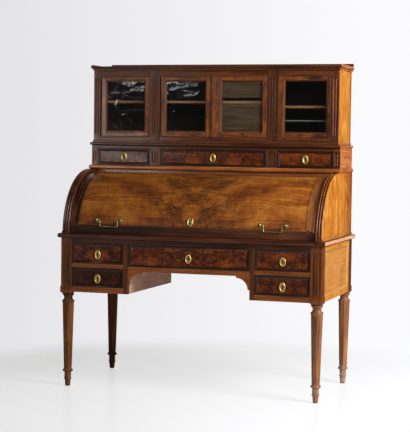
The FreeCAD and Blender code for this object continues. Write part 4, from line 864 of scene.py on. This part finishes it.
def link(name: str, mesh: bpy.types.Mesh, finishes: Iterable[Finish], body: str,
         slot: str) -> bpy.types.Object:
    """Puts a mesh in the scene as a piece that rides a body.

    Args:
        name: the piece's name.
        mesh: its mesh, in the row frame.
        finishes: its finishes, in the order of its faces' numbers.
        body: the CAD body that it moves with.
        slot: the record's material slot; not used.

    Returns:
        The piece.
    """
    for finish in finishes:
        mesh.materials.append(finish.material())
    mesh.shade_smooth()
    mesh.set_sharp_from_angle(angle=HARD_ANGLE)
    piece = bpy.data.objects.new(name, mesh)
    bpy.context.scene.collection.objects.link(piece)
    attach(piece, body)
    LOG.info("%s: %d faces on %s", name, len(mesh.polygons), body)
    return piece


def dress(node: str, finish: Finish) -> None:
    """Gives a CAD node that is kept its finish.

    Args:
        node: the node's name.
        finish: the finish.
    """
    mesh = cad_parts[node].data
    mesh.materials.clear()
    mesh.materials.append(finish.material())
    LOG.info("%s: kept, %s", node, finish.name)


@dataclass
class Boards:
    """A CAD node's boards, taken over with eased arrises and grain of their own; sizes in millimetres.

    The finishes are those that choose gives its faces, or one finish for all of them. Arrises shorter
    than shortest stay sharp. Cuts are levels of y at which faces are split, so that the darkening
    can change there. The first leaf's number says where in the log the boards were cut.
    """

    node: str
    body: str
    slot: str
    finishes: tuple[Finish, ...]
    choose: Optional[Chooser] = None
    along: Optional[Axis] = None
    worn: Weight = nowhere
    age: Weight = nowhere
    arris: float = 0.9
    shortest: float = 9.0
    cuts: tuple[float, ...] = ()
    plank: float = 0.0
    first_leaf: int = 0

    def build(self) -> None:
        """Makes the piece that stands for the node."""
        name = self.node + "_boards"
        mesh = bpy.data.meshes.new(name)
        whole = bmesh.new()
        for number, solid in enumerate(solids_of(self.node), self.first_leaf):
            luck = random.Random(f"{self.node} {number}")
            for board in self.planks(solid):
                self.add_board(whole, board, solid, luck)
        whole.to_mesh(mesh)
        whole.free()
        piece = link(name, mesh, self.finishes, self.body, self.slot)
        weighted = piece.modifiers.new("flat faces stay flat", "WEIGHTED_NORMAL")
        weighted.keep_sharp = True
        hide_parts(self.node)

    def planks(self, solid: Solid) -> Iterator[bmesh.types.BMesh]:
        """Saws a solid into planks no wider than they should be.

        Args:
            solid: the solid.

        Returns:
            The planks, or the whole board where it isn't planked.
        """
        across = solid.axes(self.along)[1]
        wide = solid.high[across] - solid.low[across]
        count = math.ceil(wide / (self.plank * MM)) if self.plank else 1
        joints = [solid.low[across] + wide * i / count for i in range(count + 1)]
        for i in range(count):
            board = bmesh.new()
            points = [board.verts.new(p) for p in solid.points]
            for triangle in solid.triangles:
                board.faces.new([points[j] for j in triangle])
            bmesh.ops.dissolve_limit(board, angle_limit=FLAT_ANGLE, verts=board.verts, edges=board.edges)
            for joint, outward in ((joints[i], -1), (joints[i + 1], 1)):
                if count > 1:
                    self.saw(board, across, joint, outward)
            yield board

    @staticmethod
    def saw(board: bmesh.types.BMesh, axis: int, level: float, outward: int) -> None:
        """Cuts a board off at a level of an axis and closes the cut.

        Args:
            board: the board.
            axis: the axis that the cut is square to.
            level: where the cut lies on it, in metres.
            outward: 1 where what lies beyond the level falls off, -1 where what lies before it does.
        """
        normal = Vector((0, 0, 0))
        normal[axis] = outward
        cut = bmesh.ops.bisect_plane(board, geom=[*board.verts, *board.edges, *board.faces],
                                     plane_co=normal * outward * level, plane_no=normal, clear_outer=True)
        rim = [part for part in cut["geom_cut"] if isinstance(part, bmesh.types.BMEdge)]
        bmesh.ops.holes_fill(board, edges=[edge for edge in rim if edge.is_boundary])

    def add_board(self, whole: bmesh.types.BMesh, board: bmesh.types.BMesh, solid: Solid,
                  luck: random.Random) -> None:
        """Adds one board to the piece.

        Args:
            whole: the piece's mesh so far.
            board: the board's mesh.
            solid: the solid that it comes from.
            luck: where in the log the board was cut.
        """
        for depth in self.cuts:
            bmesh.ops.bisect_plane(board, geom=[*board.verts, *board.edges, *board.faces],
                                   plane_co=(0, depth * MM, 0), plane_no=(0, 1, 0))
        eased = self.ease(board)
        offset = np.array([luck.uniform(0, LOG_LENGTH) for _ in range(3)])
        order = solid.axes(self.along)
        vectors, numbers = whole.loops.layers.float_vector, whole.loops.layers.float
        grain = vectors.get("grain") or vectors.new("grain")
        worn = numbers.get("worn") or numbers.new("worn")
        age = numbers.get("age") or numbers.new("age")
        copies = {point: whole.verts.new(point.co) for point in board.verts}
        for face in board.faces:
            finish = self.finishes[0]
            if self.choose is not None:
                finish = self.choose(solid, face.calc_center_median(), face.normal)
            copy = whole.faces.new([copies[point] for point in face.verts])
            copy.material_index = self.finishes.index(finish)
            for loop in copy.loops:
                loop[grain] = self.place(finish.lay, np.array(loop.vert.co), solid, order, offset)
                loop[worn] = max(float(face in eased), self.worn(loop.vert.co))
                loop[age] = self.age(loop.vert.co)
        board.free()

    def ease(self, board: bmesh.types.BMesh) -> set[bmesh.types.BMFace]:
        """Rounds a board's long arrises.

        Args:
            board: the board.

        Returns:
            The faces that this made.
        """
        board.normal_update()
        arrises = [e for e in board.edges if len(e.link_faces) == 2
                   and e.calc_length() > self.shortest * MM
                   and abs(e.calc_face_angle_signed(0)) > ARRIS_ANGLE]
        if not arrises or not self.arris:
            return set()
        made = bmesh.ops.bevel(board, geom=arrises, offset=self.arris * MM, offset_type="OFFSET", segments=2,
                               profile=0.5, affect="EDGES", clamp_overlap=True)
        board.normal_update()
        return set(made["faces"])

    @staticmethod
    def place(lay: Lay, point: np.ndarray, solid: Solid, order: list[int], offset: np.ndarray) -> Vector:
        """Finds a point's grain coordinates.

        Args:
            lay: how the finish lies.
            point: the point, in the row frame.
            solid: the board's solid.
            order: the axes along, across and through the board.
            offset: where in the log the board was cut.

        Returns:
            The place along, across and through the grain, in metres.
        """
        if lay is Lay.FRONT:
            middle = (solid.low + solid.high) / 2
            return Vector((point[0] - middle[0], point[2] - middle[2], offset[2]))
        if lay in (Lay.ROLL, Lay.CURVE):
            across, along = point[0], roll_angle(point) * ROLL_RADIUS
            return Vector((across, along, offset[2]) if lay is Lay.ROLL else (along, across, offset[2]))
        return Vector((point[order] + offset).tolist())


def roll_angle(point: Sequence[float]) -> float:
    """The angle of a point round the roll's axis, up from straight ahead, in radians."""
    return math.atan2(point[2] - ROLL_AXIS[1], ROLL_AXIS[0] - point[1])


def on_roll(across: float, height: float, along: float) -> Vector:
    """Maps a place across the roll, and along it from its axis' level, to the row frame.

    Args:
        across: the place across the roll, in metres, as are the others.
        height: the height over its outer face.
        along: the length along its curve.

    Returns:
        The point.
    """
    angle = along / ROLL_RADIUS
    reach = ROLL_RADIUS + height
    return Vector((across, ROLL_AXIS[0] - reach * math.cos(angle), ROLL_AXIS[1] + reach * math.sin(angle)))


def on_front(y: float) -> ToPlace:
    """Maps face coordinates to a front that stands at y, heights towards the viewer."""
    return lambda x, height, z: Vector((x, y - height, z))


def strip(loop: Sequence[Point], mitres: Sequence[Point], profile: Sequence[Point], to_place: ToPlace,
          closed: bool = True) -> bpy.types.Mesh:
    """Makes a moulding by running a profile along a line on a face.

    Args:
        loop: the line's points on the face, in metres.
        mitres: for each point, the direction in which the profile's offsets go.
        profile: pairs of an offset and a height over the face, in metres.
        to_place: maps a point's two face coordinates, with its height between them, to the row frame.
        closed: whether the line comes back to its start.

    Returns:
        The moulding's mesh.
    """
    mesh = bpy.data.meshes.new("moulding")
    work = bmesh.new()
    rows = [[work.verts.new(to_place(p[0] + m[0] * o, h, p[1] + m[1] * o)) for o, h in profile]
            for p, m in zip(loop, mitres)]
    for i in range(len(rows) if closed else len(rows) - 1):
        here, there = rows[i], rows[(i + 1) % len(rows)]
        for j in range(len(profile)):
            k = (j + 1) % len(profile)
            work.faces.new((here[j], there[j], there[k], here[k]))
    if not closed:
        work.faces.new(rows[0])
        work.faces.new(list(reversed(rows[-1])))
    bmesh.ops.recalc_face_normals(work, faces=work.faces)
    work.to_mesh(mesh)
    work.free()
    return mesh


def rectangle(low: Point, high: Point) -> tuple[list[Point], list[Point]]:
    """The corners of a rectangle and the mitres that lead into it."""
    corners = [(low[0], low[1]), (high[0], low[1]), (high[0], high[1]), (low[0], high[1])]
    return corners, [(1, 1), (-1, 1), (-1, -1), (1, -1)]


def ellipse(centre: Point, half: Point, count: int = 40) -> tuple[list[Point], list[Point]]:
    """Goes round an ellipse.

    Args:
        centre: its centre, in metres.
        half: its half width and half height, in millimetres.
        count: how many points it has.

    Returns:
        Its points and the directions that lead into it.
    """
    points, inward = [], []
    wide, high = half[0] * MM, half[1] * MM
    for i in range(count):
        angle = math.tau * i / count
        side, up = math.cos(angle), math.sin(angle)
        points.append((centre[0] + wide * side, centre[1] + high * up))
        steep = Vector((side / wide, up / high)).normalized()
        inward.append((-steep.x, -steep.y))
    return points, inward


def half_round(size: Point, start: float = 0, sink: float = 0.3, count: int = 7) -> list[Point]:
    """Draws a bead's profile from sizes in millimetres.

    Args:
        size: its width and height.
        start: its offset from the line that it runs along.
        sink: how far it goes into the face under it.
        count: how many points its round has.

    Returns:
        The profile's offsets and heights, in metres.
    """
    width, height = size
    turns = [math.pi * i / (count - 1) for i in range(count)]
    rise = [(start + width * (1 - math.cos(turn)) / 2, height * math.sin(turn)) for turn in turns]
    whole = [(start, -sink), *rise, (start + width, -sink)]
    return [(offset * MM, level * MM) for offset, level in whole]


@dataclass(frozen=True)
class CarcassFaces:
    """The finishes of the carcass: on the front, on the flanks in lighter copies as painted light, and inside
    the glazed cabinet, near black as painted shade.

    The inside is the box of the cabinet's sides, drawn in by margins in millimetres. A flank is a face
    far out that looks sideways.
    """

    front: Finish
    flank: Finish
    inside: Finish = STAIN_AND_SHADE
    low_margin: Place = (8.0, -2.5, -13.0)
    high_margin: Place = (8.0, 1.5, 18.0)
    far_out: float = 600
    sideways: float = 0.75

    @property
    def finishes(self) -> tuple[Finish, ...]:
        """The three finishes in their order."""
        return self.front, self.flank, self.inside

    def __call__(self, solid: Solid, centre: Vector, normal: Vector) -> Finish:
        """Chooses a face's finish.

        Args:
            solid: the solid that it belongs to; not used.
            centre: its centre.
            normal: its direction.

        Returns:
            The finish.
        """
        low = [CABINET_LOW[i] + self.low_margin[i] * MM for i in range(3)]
        high = [CABINET_HIGH[i] - self.high_margin[i] * MM for i in range(3)]
        if all(low[i] < centre[i] < high[i] for i in range(3)):
            return self.inside
        out = abs(centre.x)
        if out > self.far_out * MM and normal.x * centre.x > self.sideways * out:
            return self.flank
        return self.front


@dataclass
class Escutcheon:
    """The beaded rim of an oval escutcheon, with a black well behind its keyhole as painted shade; sizes in
    millimetres.
    """

    name: str
    body: str
    centre: Point
    to_place: ToPlace
    half: Point = (16, 23)
    rim: Point = (6.0, 2.0)
    rim_sink: float = 1.0
    bead: Point = (1.6, 0.7)
    bead_sink: float = 0.5
    bead_inset: float = 8.5
    keyhole: Point = (4.2, 10)
    keyhole_drop: float = 3.0
    plate: float = 2.5
    # The black well behind the keyhole, which is painted shade: its width and depth, and how far it rises.
    iron: Point = (3.0, 0.4)
    iron_rise: float = 0.15

    def build(self) -> None:
        """Makes the rim, the inner bead and the black well behind the keyhole, which is painted shade."""
        rim = strip(*ellipse(self.centre, self.half), half_round(self.rim, sink=self.rim_sink), self.to_place)
        link(f"{self.name}_rim", rim, (BRASS,), self.body, "brass")
        inner = (self.half[0] - self.bead_inset, self.half[1] - self.bead_inset)
        bead = strip(*ellipse(self.centre, inner), half_round(self.bead, sink=self.bead_sink), self.to_place)
        link(f"{self.name}_bead", bead, (BRASS,), self.body, "brass")
        wide, deep = self.iron
        floor = self.iron_rise - self.plate
        well = [(0, floor), (0, floor - deep), (wide, floor - deep), (wide, floor)]
        middle = (self.centre[0], self.centre[1] - self.keyhole_drop * MM)
        hole = strip(*ellipse(middle, self.keyhole, count=24),
                     [(offset * MM, level * MM) for offset, level in well], self.to_place)
        link(f"{self.name}_keyhole", hole, (KEYHOLE_SHADE,), self.body, "steel")


@dataclass
class Drawer:
    """A drawer: veneered front with a bead round it, oak box, lock and escutcheon; sizes in millimetres."""

    name: str
    lock: str
    sunk: float = 4.0
    lock_drop: float = 6.0
    shade: float = 0.0
    shaded: float = 12.0
    bead: Point = (2.6, 1.0)
    bead_inset: float = 1.2
    slack: float = 1.0
    low: Vector = field(init=False)
    high: Vector = field(init=False)

    def __post_init__(self) -> None:
        """Keeps the drawer's box."""
        self.low, self.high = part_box(self.name)

    def build(self) -> None:
        """Makes the drawer's boards, bead and escutcheon."""
        low, high = self.low, self.high
        Boards(self.name, self.name, "burr_walnut", (BURR, RIM, OAK), self.face, age=self.age).build()
        profile = half_round(self.bead, start=self.bead_inset)
        bead = strip(*rectangle((low.x, low.z), (high.x, high.z)), profile, on_front(low.y))
        link(f"{self.name}_bead", bead, (RIM,), self.name, "walnut")
        dress(self.lock, DISH)
        centre = ((low.x + high.x) / 2, (low.z + high.z) / 2 - self.lock_drop * MM)
        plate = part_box(self.lock)[0].y
        Escutcheon(f"{self.lock}_escutcheon", self.name, centre, on_front(plate)).build()

    def age(self, point: Vector) -> float:
        """Painted shade on the drawer at a point: the front alone takes it."""
        return self.shade if point.y < self.low.y + self.shaded * MM else 0.0

    def face(self, solid: Solid, centre: Vector, normal: Vector) -> Finish:
        """Chooses veneer for the sunk field, near-black walnut round it as painted shade, oak for the box.

        Args:
            solid: the face's solid.
            centre: its centre.
            normal: its direction.

        Returns:
            The finish.
        """
        if solid.low[1] > self.low.y + self.slack * MM:
            return OAK
        sunk = centre.y > self.low.y + (self.sunk - self.slack) * MM
        return BURR if sunk and normal.y < -FACING else RIM


@dataclass
class Door:
    """A glazed door: frame of stiles and rails, glazing bead and pane; sizes in millimetres."""

    place: str
    # Whether the pane has the grey-brown veil, a painted reflection.
    dusty: bool = False
    arris: float = 1.4
    splayed: float = 0.3
    # Painted shade: the doors go darker towards the right.
    shade: Fade = Fade(Axis.X, start=350, end=660, depth=0.6)

    def build(self) -> None:
        """Makes the frame and gives the pane its glass."""
        name = f"door_{self.place}"
        Boards(name, name, "walnut", (DOOR, SPLAY), self.face, arris=self.arris, age=self.shade).build()
        dress(f"glass_{self.place}", VEILED_GLASS if self.dusty else GLASS)

    def face(self, solid: Solid, centre: Vector, normal: Vector) -> Finish:
        """Dull polish on the splays towards the pane, veneer on the rest."""
        return SPLAY if self.splayed < -normal.y < FACING else DOOR


@dataclass
class Leg:
    """A turned leg with its block and post in one piece; levels in millimetres."""

    place: str
    shade: float = 0.0
    block_low: float = 477
    block_high: float = 515
    post_shade: float = 0.3
    neck: Point = (430, 460)
    neck_shade: float = 0.5
    foot_wear: Fade = Fade(Axis.Z, start=130, end=0, depth=0.9)

    def build(self) -> None:
        """Makes the leg, dull where it is given painted shade."""
        wax = LEG_DULL if self.shade else LEG
        Boards(f"leg_{self.place}", "carcass", "walnut", (wax, FRONT),
               lambda solid, centre, normal: FRONT if centre.z > self.block_low * MM else wax,
               along=Axis.Z, arris=FINE_ARRIS, worn=self.foot_wear, age=self.age).build()

    def age(self, point: Vector) -> float:
        """Finds the painted shade on the leg: none on the block, which is left lit, more on the post, most at
        the neck under the block.

        Args:
            point: a point of it.

        Returns:
            The painted shade, from 0 to 1.
        """
        if point.z > self.block_high * MM:
            return max(self.shade, self.post_shade)
        if point.z > self.block_low * MM:
            return 0.0
        low, high = self.neck
        return self.shade * (1 + self.neck_shade * ramp(point.z, low * MM, high * MM))


@dataclass
class Base:
    """The lower case on four legs, with its frame, sides, brackets and backs; sizes in millimetres.

    The drawers and the legs are listed with how much painted shade each takes, from 0 to 1.
    """

    drawers: ClassVar[dict[str, float]] = {
        "upper_left": 0.15, "lower_left": 0.7, "centre": 0.0, "upper_right": 0.0, "lower_right": 0.25}
    legs: ClassVar[dict[str, float]] = {
        "front_left": 0.48, "back_left": 0.64, "front_right": 0.0, "back_right": 0.0}
    carcass: ClassVar[CarcassFaces] = CarcassFaces(FRONT, FLANK)
    top_rail_level: float = 690
    panel_size: float = 120
    # Painted shade: the front frame goes darker towards the right.
    frame_shade: Fade = Fade(Axis.X, start=100, end=600, depth=0.25)

    def build(self) -> None:
        """Makes the base's boards."""
        for place, shade in self.legs.items():
            Leg(place, shade).build()
        Boards("base_front_frame", "carcass", "walnut", (FRONT, DARK, UPPER), self.frame_face,
               age=self.frame_shade).build()
        for side in ("left", "right"):
            Boards(f"base_{side}_side", "carcass", "walnut", (*self.carcass.finishes, PANEL),
                   self.side_face).build()
        Boards("kneehole_brackets", "carcass", "walnut", (FRONT,)).build()
        Boards("pedestal_inner_sides", "carcass", "oak", (KNEEHOLE,)).build()
        Boards("base_back_panels", "carcass", "oak", (OAK,), along=Axis.X, plank=PLANK).build()
        Boards("drawer_runners", "carcass", "oak", (OAK,)).build()
        Boards("desk_bed", "carcass", "oak", (BED,)).build()

    def frame_face(self, solid: Solid, centre: Vector, normal: Vector) -> Finish:
        """Chooses deep brown for the dividers, dark polish for the top rail as painted shade under the
        moulding, red-brown for the others.

        Args:
            solid: the face's solid.
            centre: its centre; not used.
            normal: its direction; not used.

        Returns:
            The finish.
        """
        size = solid.high - solid.low
        if size[2] > size[0]:
            return UPPER
        return DARK if solid.low[2] > self.top_rail_level * MM else FRONT

    def side_face(self, solid: Solid, centre: Vector, normal: Vector) -> Finish:
        """Chooses pale gold, as painted light, for the sunk panel of a side, and as the carcass for the rest.

        Args:
            solid: the face's solid.
            centre: its centre.
            normal: its direction.

        Returns:
            The finish.
        """
        finish = self.carcass(solid, centre, normal)
        size = solid.high - solid.low
        return PANEL if finish is FLANK and min(size[1], size[2]) > self.panel_size * MM else finish


@dataclass
class WritingLevel:
    """The moulded edge, the writing slide with its leather, and the pigeonholes; sizes in millimetres.

    The gold lines on the leather are listed with their insets and widths.
    """

    lines: ClassVar[dict[str, Point]] = {"broad": (14, 3.0), "fine": (20, 1.2)}
    leaf: float = 0.12
    pressed: float = 0.2

    def build(self) -> None:
        """Makes the writing level's boards."""
        edge = CarcassFaces(DARK, LIT_MOULDING)
        Boards("desk_edge_moulding", "carcass", "walnut", edge.finishes, edge).build()
        Boards("writing_slide", "writing_slide", "walnut", (DARK,)).build()
        dress("writing_leather", LEATHER)
        self.tooling()
        Boards("pigeonhole_case", "carcass", "walnut", (FRONT,)).build()
        for side in ("left", "right"):
            name = f"pigeonhole_drawer_{side}"
            Boards(name, name, "walnut", (FRONT,)).build()

    def tooling(self) -> None:
        """Tools a broad and a fine line of gold round the leather."""
        low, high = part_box("writing_leather")
        for name, (inset, width) in self.lines.items():
            edge = inset * MM
            loop = rectangle((low.x + edge, low.y + edge), (high.x - edge, high.y - edge))
            mesh = strip(*loop, half_round((width, self.leaf), sink=self.pressed, count=3),
                         lambda x, height, y: Vector((x, y, high.z + height)))
            link(f"leather_{name}_line", mesh, (GILT,), "writing_slide", "brass")


@dataclass
class Cylinder:
    """The roll and the reeded cheeks that it runs between; sizes in millimetres, angles in degrees."""

    field_half: float = 594.5
    field_sunk: float = 0.5
    border_angle: float = 8.6
    lock_level: float = 861
    lock_rise: float = 1.5
    string_width: float = 2.2
    string_inset: float = 4.0
    string_depths: Point = (0.7, 1.4)
    string_top: float = 103
    string_steps: int = 40
    cheek_cuts: tuple[float, ...] = (100, 150, 200, 250)
    # Painted shade: the roll goes darker towards the left, the cheeks towards the back.
    roll_shade: Fade = Fade(Axis.X, start=-250, end=-600, depth=0.9)
    cheek_shade: Fade = Fade(Axis.Y, start=80, end=300, depth=0.7)

    def build(self) -> None:
        """Makes the cylinder and its cheeks."""
        Boards("cylinder_facing", "cylinder", "figured_walnut", (FLAME, SPLAY, STILE), self.face,
               along=Axis.X, arris=FINE_ARRIS, age=self.roll_shade, first_leaf=-1).build()
        Boards("cylinder_core", "cylinder", "oak", (OAK,), along=Axis.X, arris=0).build()
        Boards("cylinder_arms", "cylinder", "oak", (OAK,)).build()
        dress("cylinder_brass", HANDLE_BRASS)
        self.stringing()
        lock = math.asin((self.lock_level * MM - ROLL_AXIS[1]) / ROLL_RADIUS) * ROLL_RADIUS
        Escutcheon("cylinder_escutcheon", "cylinder", (0.0, lock),
                   lambda x, h, z: on_roll(x, h + self.lock_rise * MM, z)).build()
        cheek = CarcassFaces(DARK, FLANK)
        for side in ("left", "right"):
            dress(f"bail_{side}", HANDLE_BRASS)
            Boards(f"cheek_{side}", "carcass", "walnut", cheek.finishes, cheek, along=Axis.Z,
                   arris=FINE_ARRIS, age=self.cheek_shade, cuts=self.cheek_cuts).build()
        dress("pivot_pins", STEEL)

    def face(self, solid: Solid, centre: Vector, normal: Vector) -> Finish:
        """Chooses the flame for the field, dull polish for the bottom rail, bright veneer for the stiles.

        Args:
            solid: the face's solid; not used.
            centre: its centre.
            normal: its direction; not used.

        Returns:
            The finish.
        """
        if roll_angle(centre) < math.radians(self.border_angle):
            return SPLAY
        if abs(centre.x) > self.field_half * MM:
            return STILE
        reach = math.hypot(centre.y - ROLL_AXIS[0], centre.z - ROLL_AXIS[1])
        return FLAME if reach < ROLL_RADIUS - self.field_sunk * MM else SPLAY

    def stringing(self) -> None:
        """Lets a thin dark line into the field along the border."""
        side = (self.field_half - self.string_inset) * MM
        low = math.radians(self.border_angle) * ROLL_RADIUS + self.string_inset * MM
        high = math.radians(self.string_top) * ROLL_RADIUS
        count = self.string_steps
        rise = [low + (high - low) * i / count for i in range(count + 1)]
        loop = [(-side, z) for z in reversed(rise)] + [(side, z) for z in rise]
        mitres = [(1, 0)] * count + [(1, 1), (-1, 1)] + [(-1, 0)] * count
        wide = self.string_width * MM
        top, bottom = (-depth * MM for depth in self.string_depths)
        profile = [(0, bottom), (0, top), (wide, top), (wide, bottom)]
        mesh = strip(loop, mitres, profile, on_roll, closed=False)
        link("cylinder_stringing", mesh, (STRINGING,), "cylinder", "walnut")


@dataclass
class Cabinet:
    """What stands over the cylinder: the small drawers' case and the glazed cabinet; sizes in millimetres."""

    trim: ClassVar[CarcassFaces] = CarcassFaces(UPPER, RUSSET)
    top_level: float = 1640
    dark_shelf_level: float = 1400
    lipping_size: Point = (6.0, 1.2)
    side_cuts: tuple[float, ...] = (280,)
    side_shade: Fade = Fade(Axis.Y, start=280, end=320, depth=0.75)

    def build(self) -> None:
        """Makes the upper boards, the doors and the shelves."""
        board = CarcassFaces(FASCIA, RUSSET)
        Boards("cylinder_top_board", "carcass", "walnut", board.finishes, board).build()
        for node in ("small_drawer_case", "cabinet_base_moulding", "cabinet_front_frame", "cabinet_cornice",
                     "gallery_rail"):
            Boards(node, "carcass", "walnut", (*self.trim.finishes, DUSTY_TOP), self.face).build()
        sides = CarcassFaces(UPPER, FLANK)
        Boards("cabinet_sides", "carcass", "walnut", sides.finishes, sides, age=self.side_shade,
               cuts=self.side_cuts).build()
        backs = CarcassFaces(OAK, OAK)
        Boards("upper_back_boards", "carcass", "oak", backs.finishes, backs, along=Axis.X,
               plank=PLANK).build()
        Boards("cabinet_shelves", "carcass", "walnut", (SHELF, STAIN_AND_SHADE), self.shelf_face).build()
        self.lipping()
        for place in ("outer_left", "inner_left", "inner_right", "outer_right"):
            Door(place, dusty=place == "inner_right").build()

    def face(self, solid: Solid, centre: Vector, normal: Vector) -> Finish:
        """Unpolished wood for the top that nobody sees, and as the trim for the rest."""
        on_top = centre.z > self.top_level * MM and normal.z > FACING
        return DUSTY_TOP if on_top else self.trim(solid, centre, normal)

    def shelf_face(self, solid: Solid, centre: Vector, normal: Vector) -> Finish:
        """Near black for the lowest shelf, as painted shade, beech for the others."""
        return STAIN_AND_SHADE if solid.high[2] < self.dark_shelf_level * MM else SHELF

    def lipping(self) -> None:
        """Glues a thin painted lipping along the edge of the lowest shelf."""
        shelf = min(solids_of("cabinet_shelves"), key=lambda solid: solid.low[2])
        middle = (shelf.low[2] + shelf.high[2]) / 2
        edge = [(shelf.low[0], middle), (shelf.high[0], middle)]
        profile = half_round(self.lipping_size, start=-self.lipping_size[0] / 2)
        mesh = strip(edge, [(0, 1), (0, 1)], profile, on_front(shelf.low[1]), closed=False)
        link("shelf_lipping", mesh, (LIPPING,), "carcass", "walnut")


@dataclass(frozen=True)
class Lamp:
    """A soft lamp: its place, what it points at and its sides in metres, and its power in watts."""

    name: str
    place: Place
    target: Place
    size: Point
    power: float
    mirrored: bool = True

    def hang(self) -> None:
        """Hangs the lamp, seen in gloss and glass or not."""
        light = bpy.data.lights.new(self.name, "AREA")
        light.shape = "RECTANGLE"
        light.size, light.size_y = self.size
        light.energy = self.power
        lamp = bpy.data.objects.new(self.name, light)
        lamp.location = self.place
        lamp.visible_glossy = self.mirrored
        lamp.rotation_euler = (Vector(self.target) - Vector(self.place)).to_track_quat("-Z", "Y").to_euler()
        bpy.context.scene.collection.objects.link(lamp)


@dataclass
class Studio:
    """White paper on the floor, white behind the desk, a dim room in front, and soft lamps.

    The windows are lamps that mirror in the panes. The world's limits are shares of a direction.
    """

    lamps: ClassVar[tuple[Lamp, ...]] = (
        Lamp("key", place=(3.4, -1.35, 2.5), target=(0.3, 0.0, 0.85), size=(1.5, 1.5), power=225),
        Lamp("fill", place=(3.0, -5.6, 3.2), target=(0.0, 0.0, 0.85), size=(2.0, 2.0), power=130),
        Lamp("back", place=(-2.2, 5.6, 2.3), target=(0.0, 0.3, 0.9), size=(2.0, 2.0), power=110,
             mirrored=False),
        Lamp("window_top", place=(-2.6, -6.2, 1.93), target=(-0.4, 0.0, 1.45), size=(0.8, 0.13), power=1.7),
        Lamp("window_side", place=(-3.6, -6.2, 1.5), target=(-0.6, 0.0, 1.4), size=(0.5, 0.9), power=14),
        Lamp("window_low", place=(-2.95, -6.2, 1.08), target=(-0.5, 0.0, 1.15), size=(0.8, 0.24), power=7.5),
    )
    paper_radius: float = 2.6
    paper_sides: int = 96
    room: str = "#c8c6c4"
    dimness: float = 0.09
    wall: tuple[str, str] = ("#e3e2e5", "#fbfbfd")
    grey_to_white: Point = (-0.45, -0.2)
    front_to_back: Point = (0.5, 0.8)
    right_to_left: Point = (0.05, -0.1)

    def build(self) -> None:
        """Lays the paper, hangs the lamps and sets the world."""
        self.paper()
        for lamp in self.lamps:
            lamp.hang()
        self.world()
        bpy.context.scene.view_settings.view_transform = "Standard"

    def world(self) -> None:
        """Makes the backdrop that the camera, gloss and glass see, and the room's low light."""
        world = bpy.data.worlds.new("studio")
        world.use_nodes = True
        tree = world.node_tree
        tree.nodes.clear()
        apart = put(tree, "SeparateXYZ", (put(tree, "TexCoord", out="Generated"),)).node.outputs
        behind = put(tree, "MapRange", (apart["Y"], *self.front_to_back))
        within = put(tree, "MapRange", (apart["X"], *self.right_to_left))
        rays = put(tree, "LightPath").node.outputs
        looks = put(tree, "Math", (rays["Is Glossy Ray"], rays["Is Transmission Ray"]), operation="ADD")
        there = put(tree, "Math", (behind, within), operation="MULTIPLY")
        seen = put(tree, "Math", (looks, there, rays["Is Camera Ray"]), operation="MULTIPLY_ADD")
        room = put(tree, "Background", {"Color": linear(self.room), "Strength": self.dimness})
        across = put(tree, "MapRange", (apart["X"], *self.grey_to_white))
        white = put(tree, "Background", {
            "Color": put(tree, "ValToRGB", (across,), stops=zip((0.0, 1.0), self.wall))})
        put(tree, "OutputWorld", {"Surface": put(tree, "MixShader", (seen, room, white))})
        bpy.context.scene.world = world

    def paper(self) -> None:
        """Lays the round paper."""
        mesh = bpy.data.meshes.new("paper")
        work = bmesh.new()
        bmesh.ops.create_circle(work, cap_ends=True, radius=self.paper_radius, segments=self.paper_sides)
        work.to_mesh(mesh)
        work.free()
        mesh.materials.append(Paper("white studio paper").material())
        paper = bpy.data.objects.new("paper", mesh)
        bpy.context.scene.collection.objects.link(paper)


@dataclass
class Viewpoint:
    """The photo's camera, found from the desk's own corners: metres, degrees, and a lens in millimetres."""

    eye: Place = (2.2136, -6.9302, 1.2469)
    yaw: float = 17.829
    pitch: float = 3.4617
    roll: float = 0.7686
    lens: float = 117.54
    sensor: float = 36
    shift: Point = (-0.0026, 0.0312)
    sight: float = 60

    def build(self) -> None:
        """Sets the camera up."""
        yaw, pitch, roll = (math.radians(a) for a in (self.yaw, self.pitch, self.roll))
        ahead = Vector((-math.sin(yaw) * math.cos(pitch), math.cos(yaw) * math.cos(pitch), -math.sin(pitch)))
        right = Vector((math.cos(yaw), math.sin(yaw), 0))
        up = right.cross(ahead)
        across = math.cos(roll) * right + math.sin(roll) * up
        upward = math.cos(roll) * up - math.sin(roll) * right
        turn = Matrix((across, upward, -ahead)).transposed().to_4x4()
        data = bpy.data.cameras.new("photo")
        data.lens = self.lens
        data.sensor_width = self.sensor
        data.shift_x, data.shift_y = self.shift
        data.clip_end = self.sight
        camera = bpy.data.objects.new("photo", data)
        camera.matrix_world = Matrix.Translation(self.eye) @ turn
        bpy.context.scene.collection.objects.link(camera)
        bpy.context.scene.camera = camera


def main() -> None:
    """Builds the desk's looks, the studio and the camera."""
    logging.basicConfig(level=logging.INFO, format="%(message)s")
    Base().build()
    WritingLevel().build()
    Cylinder().build()
    Cabinet().build()
    for place, shade in Base.drawers.items():
        Drawer(f"drawer_{place}", f"lock_{place}", shade=shade).build()
    for place in ("left", "centre", "right"):
        Drawer(f"small_drawer_{place}", f"small_lock_{place}", lock_drop=0).build()
    Studio().build()
    Viewpoint().build()


if __name__ == "__main__":
    main()
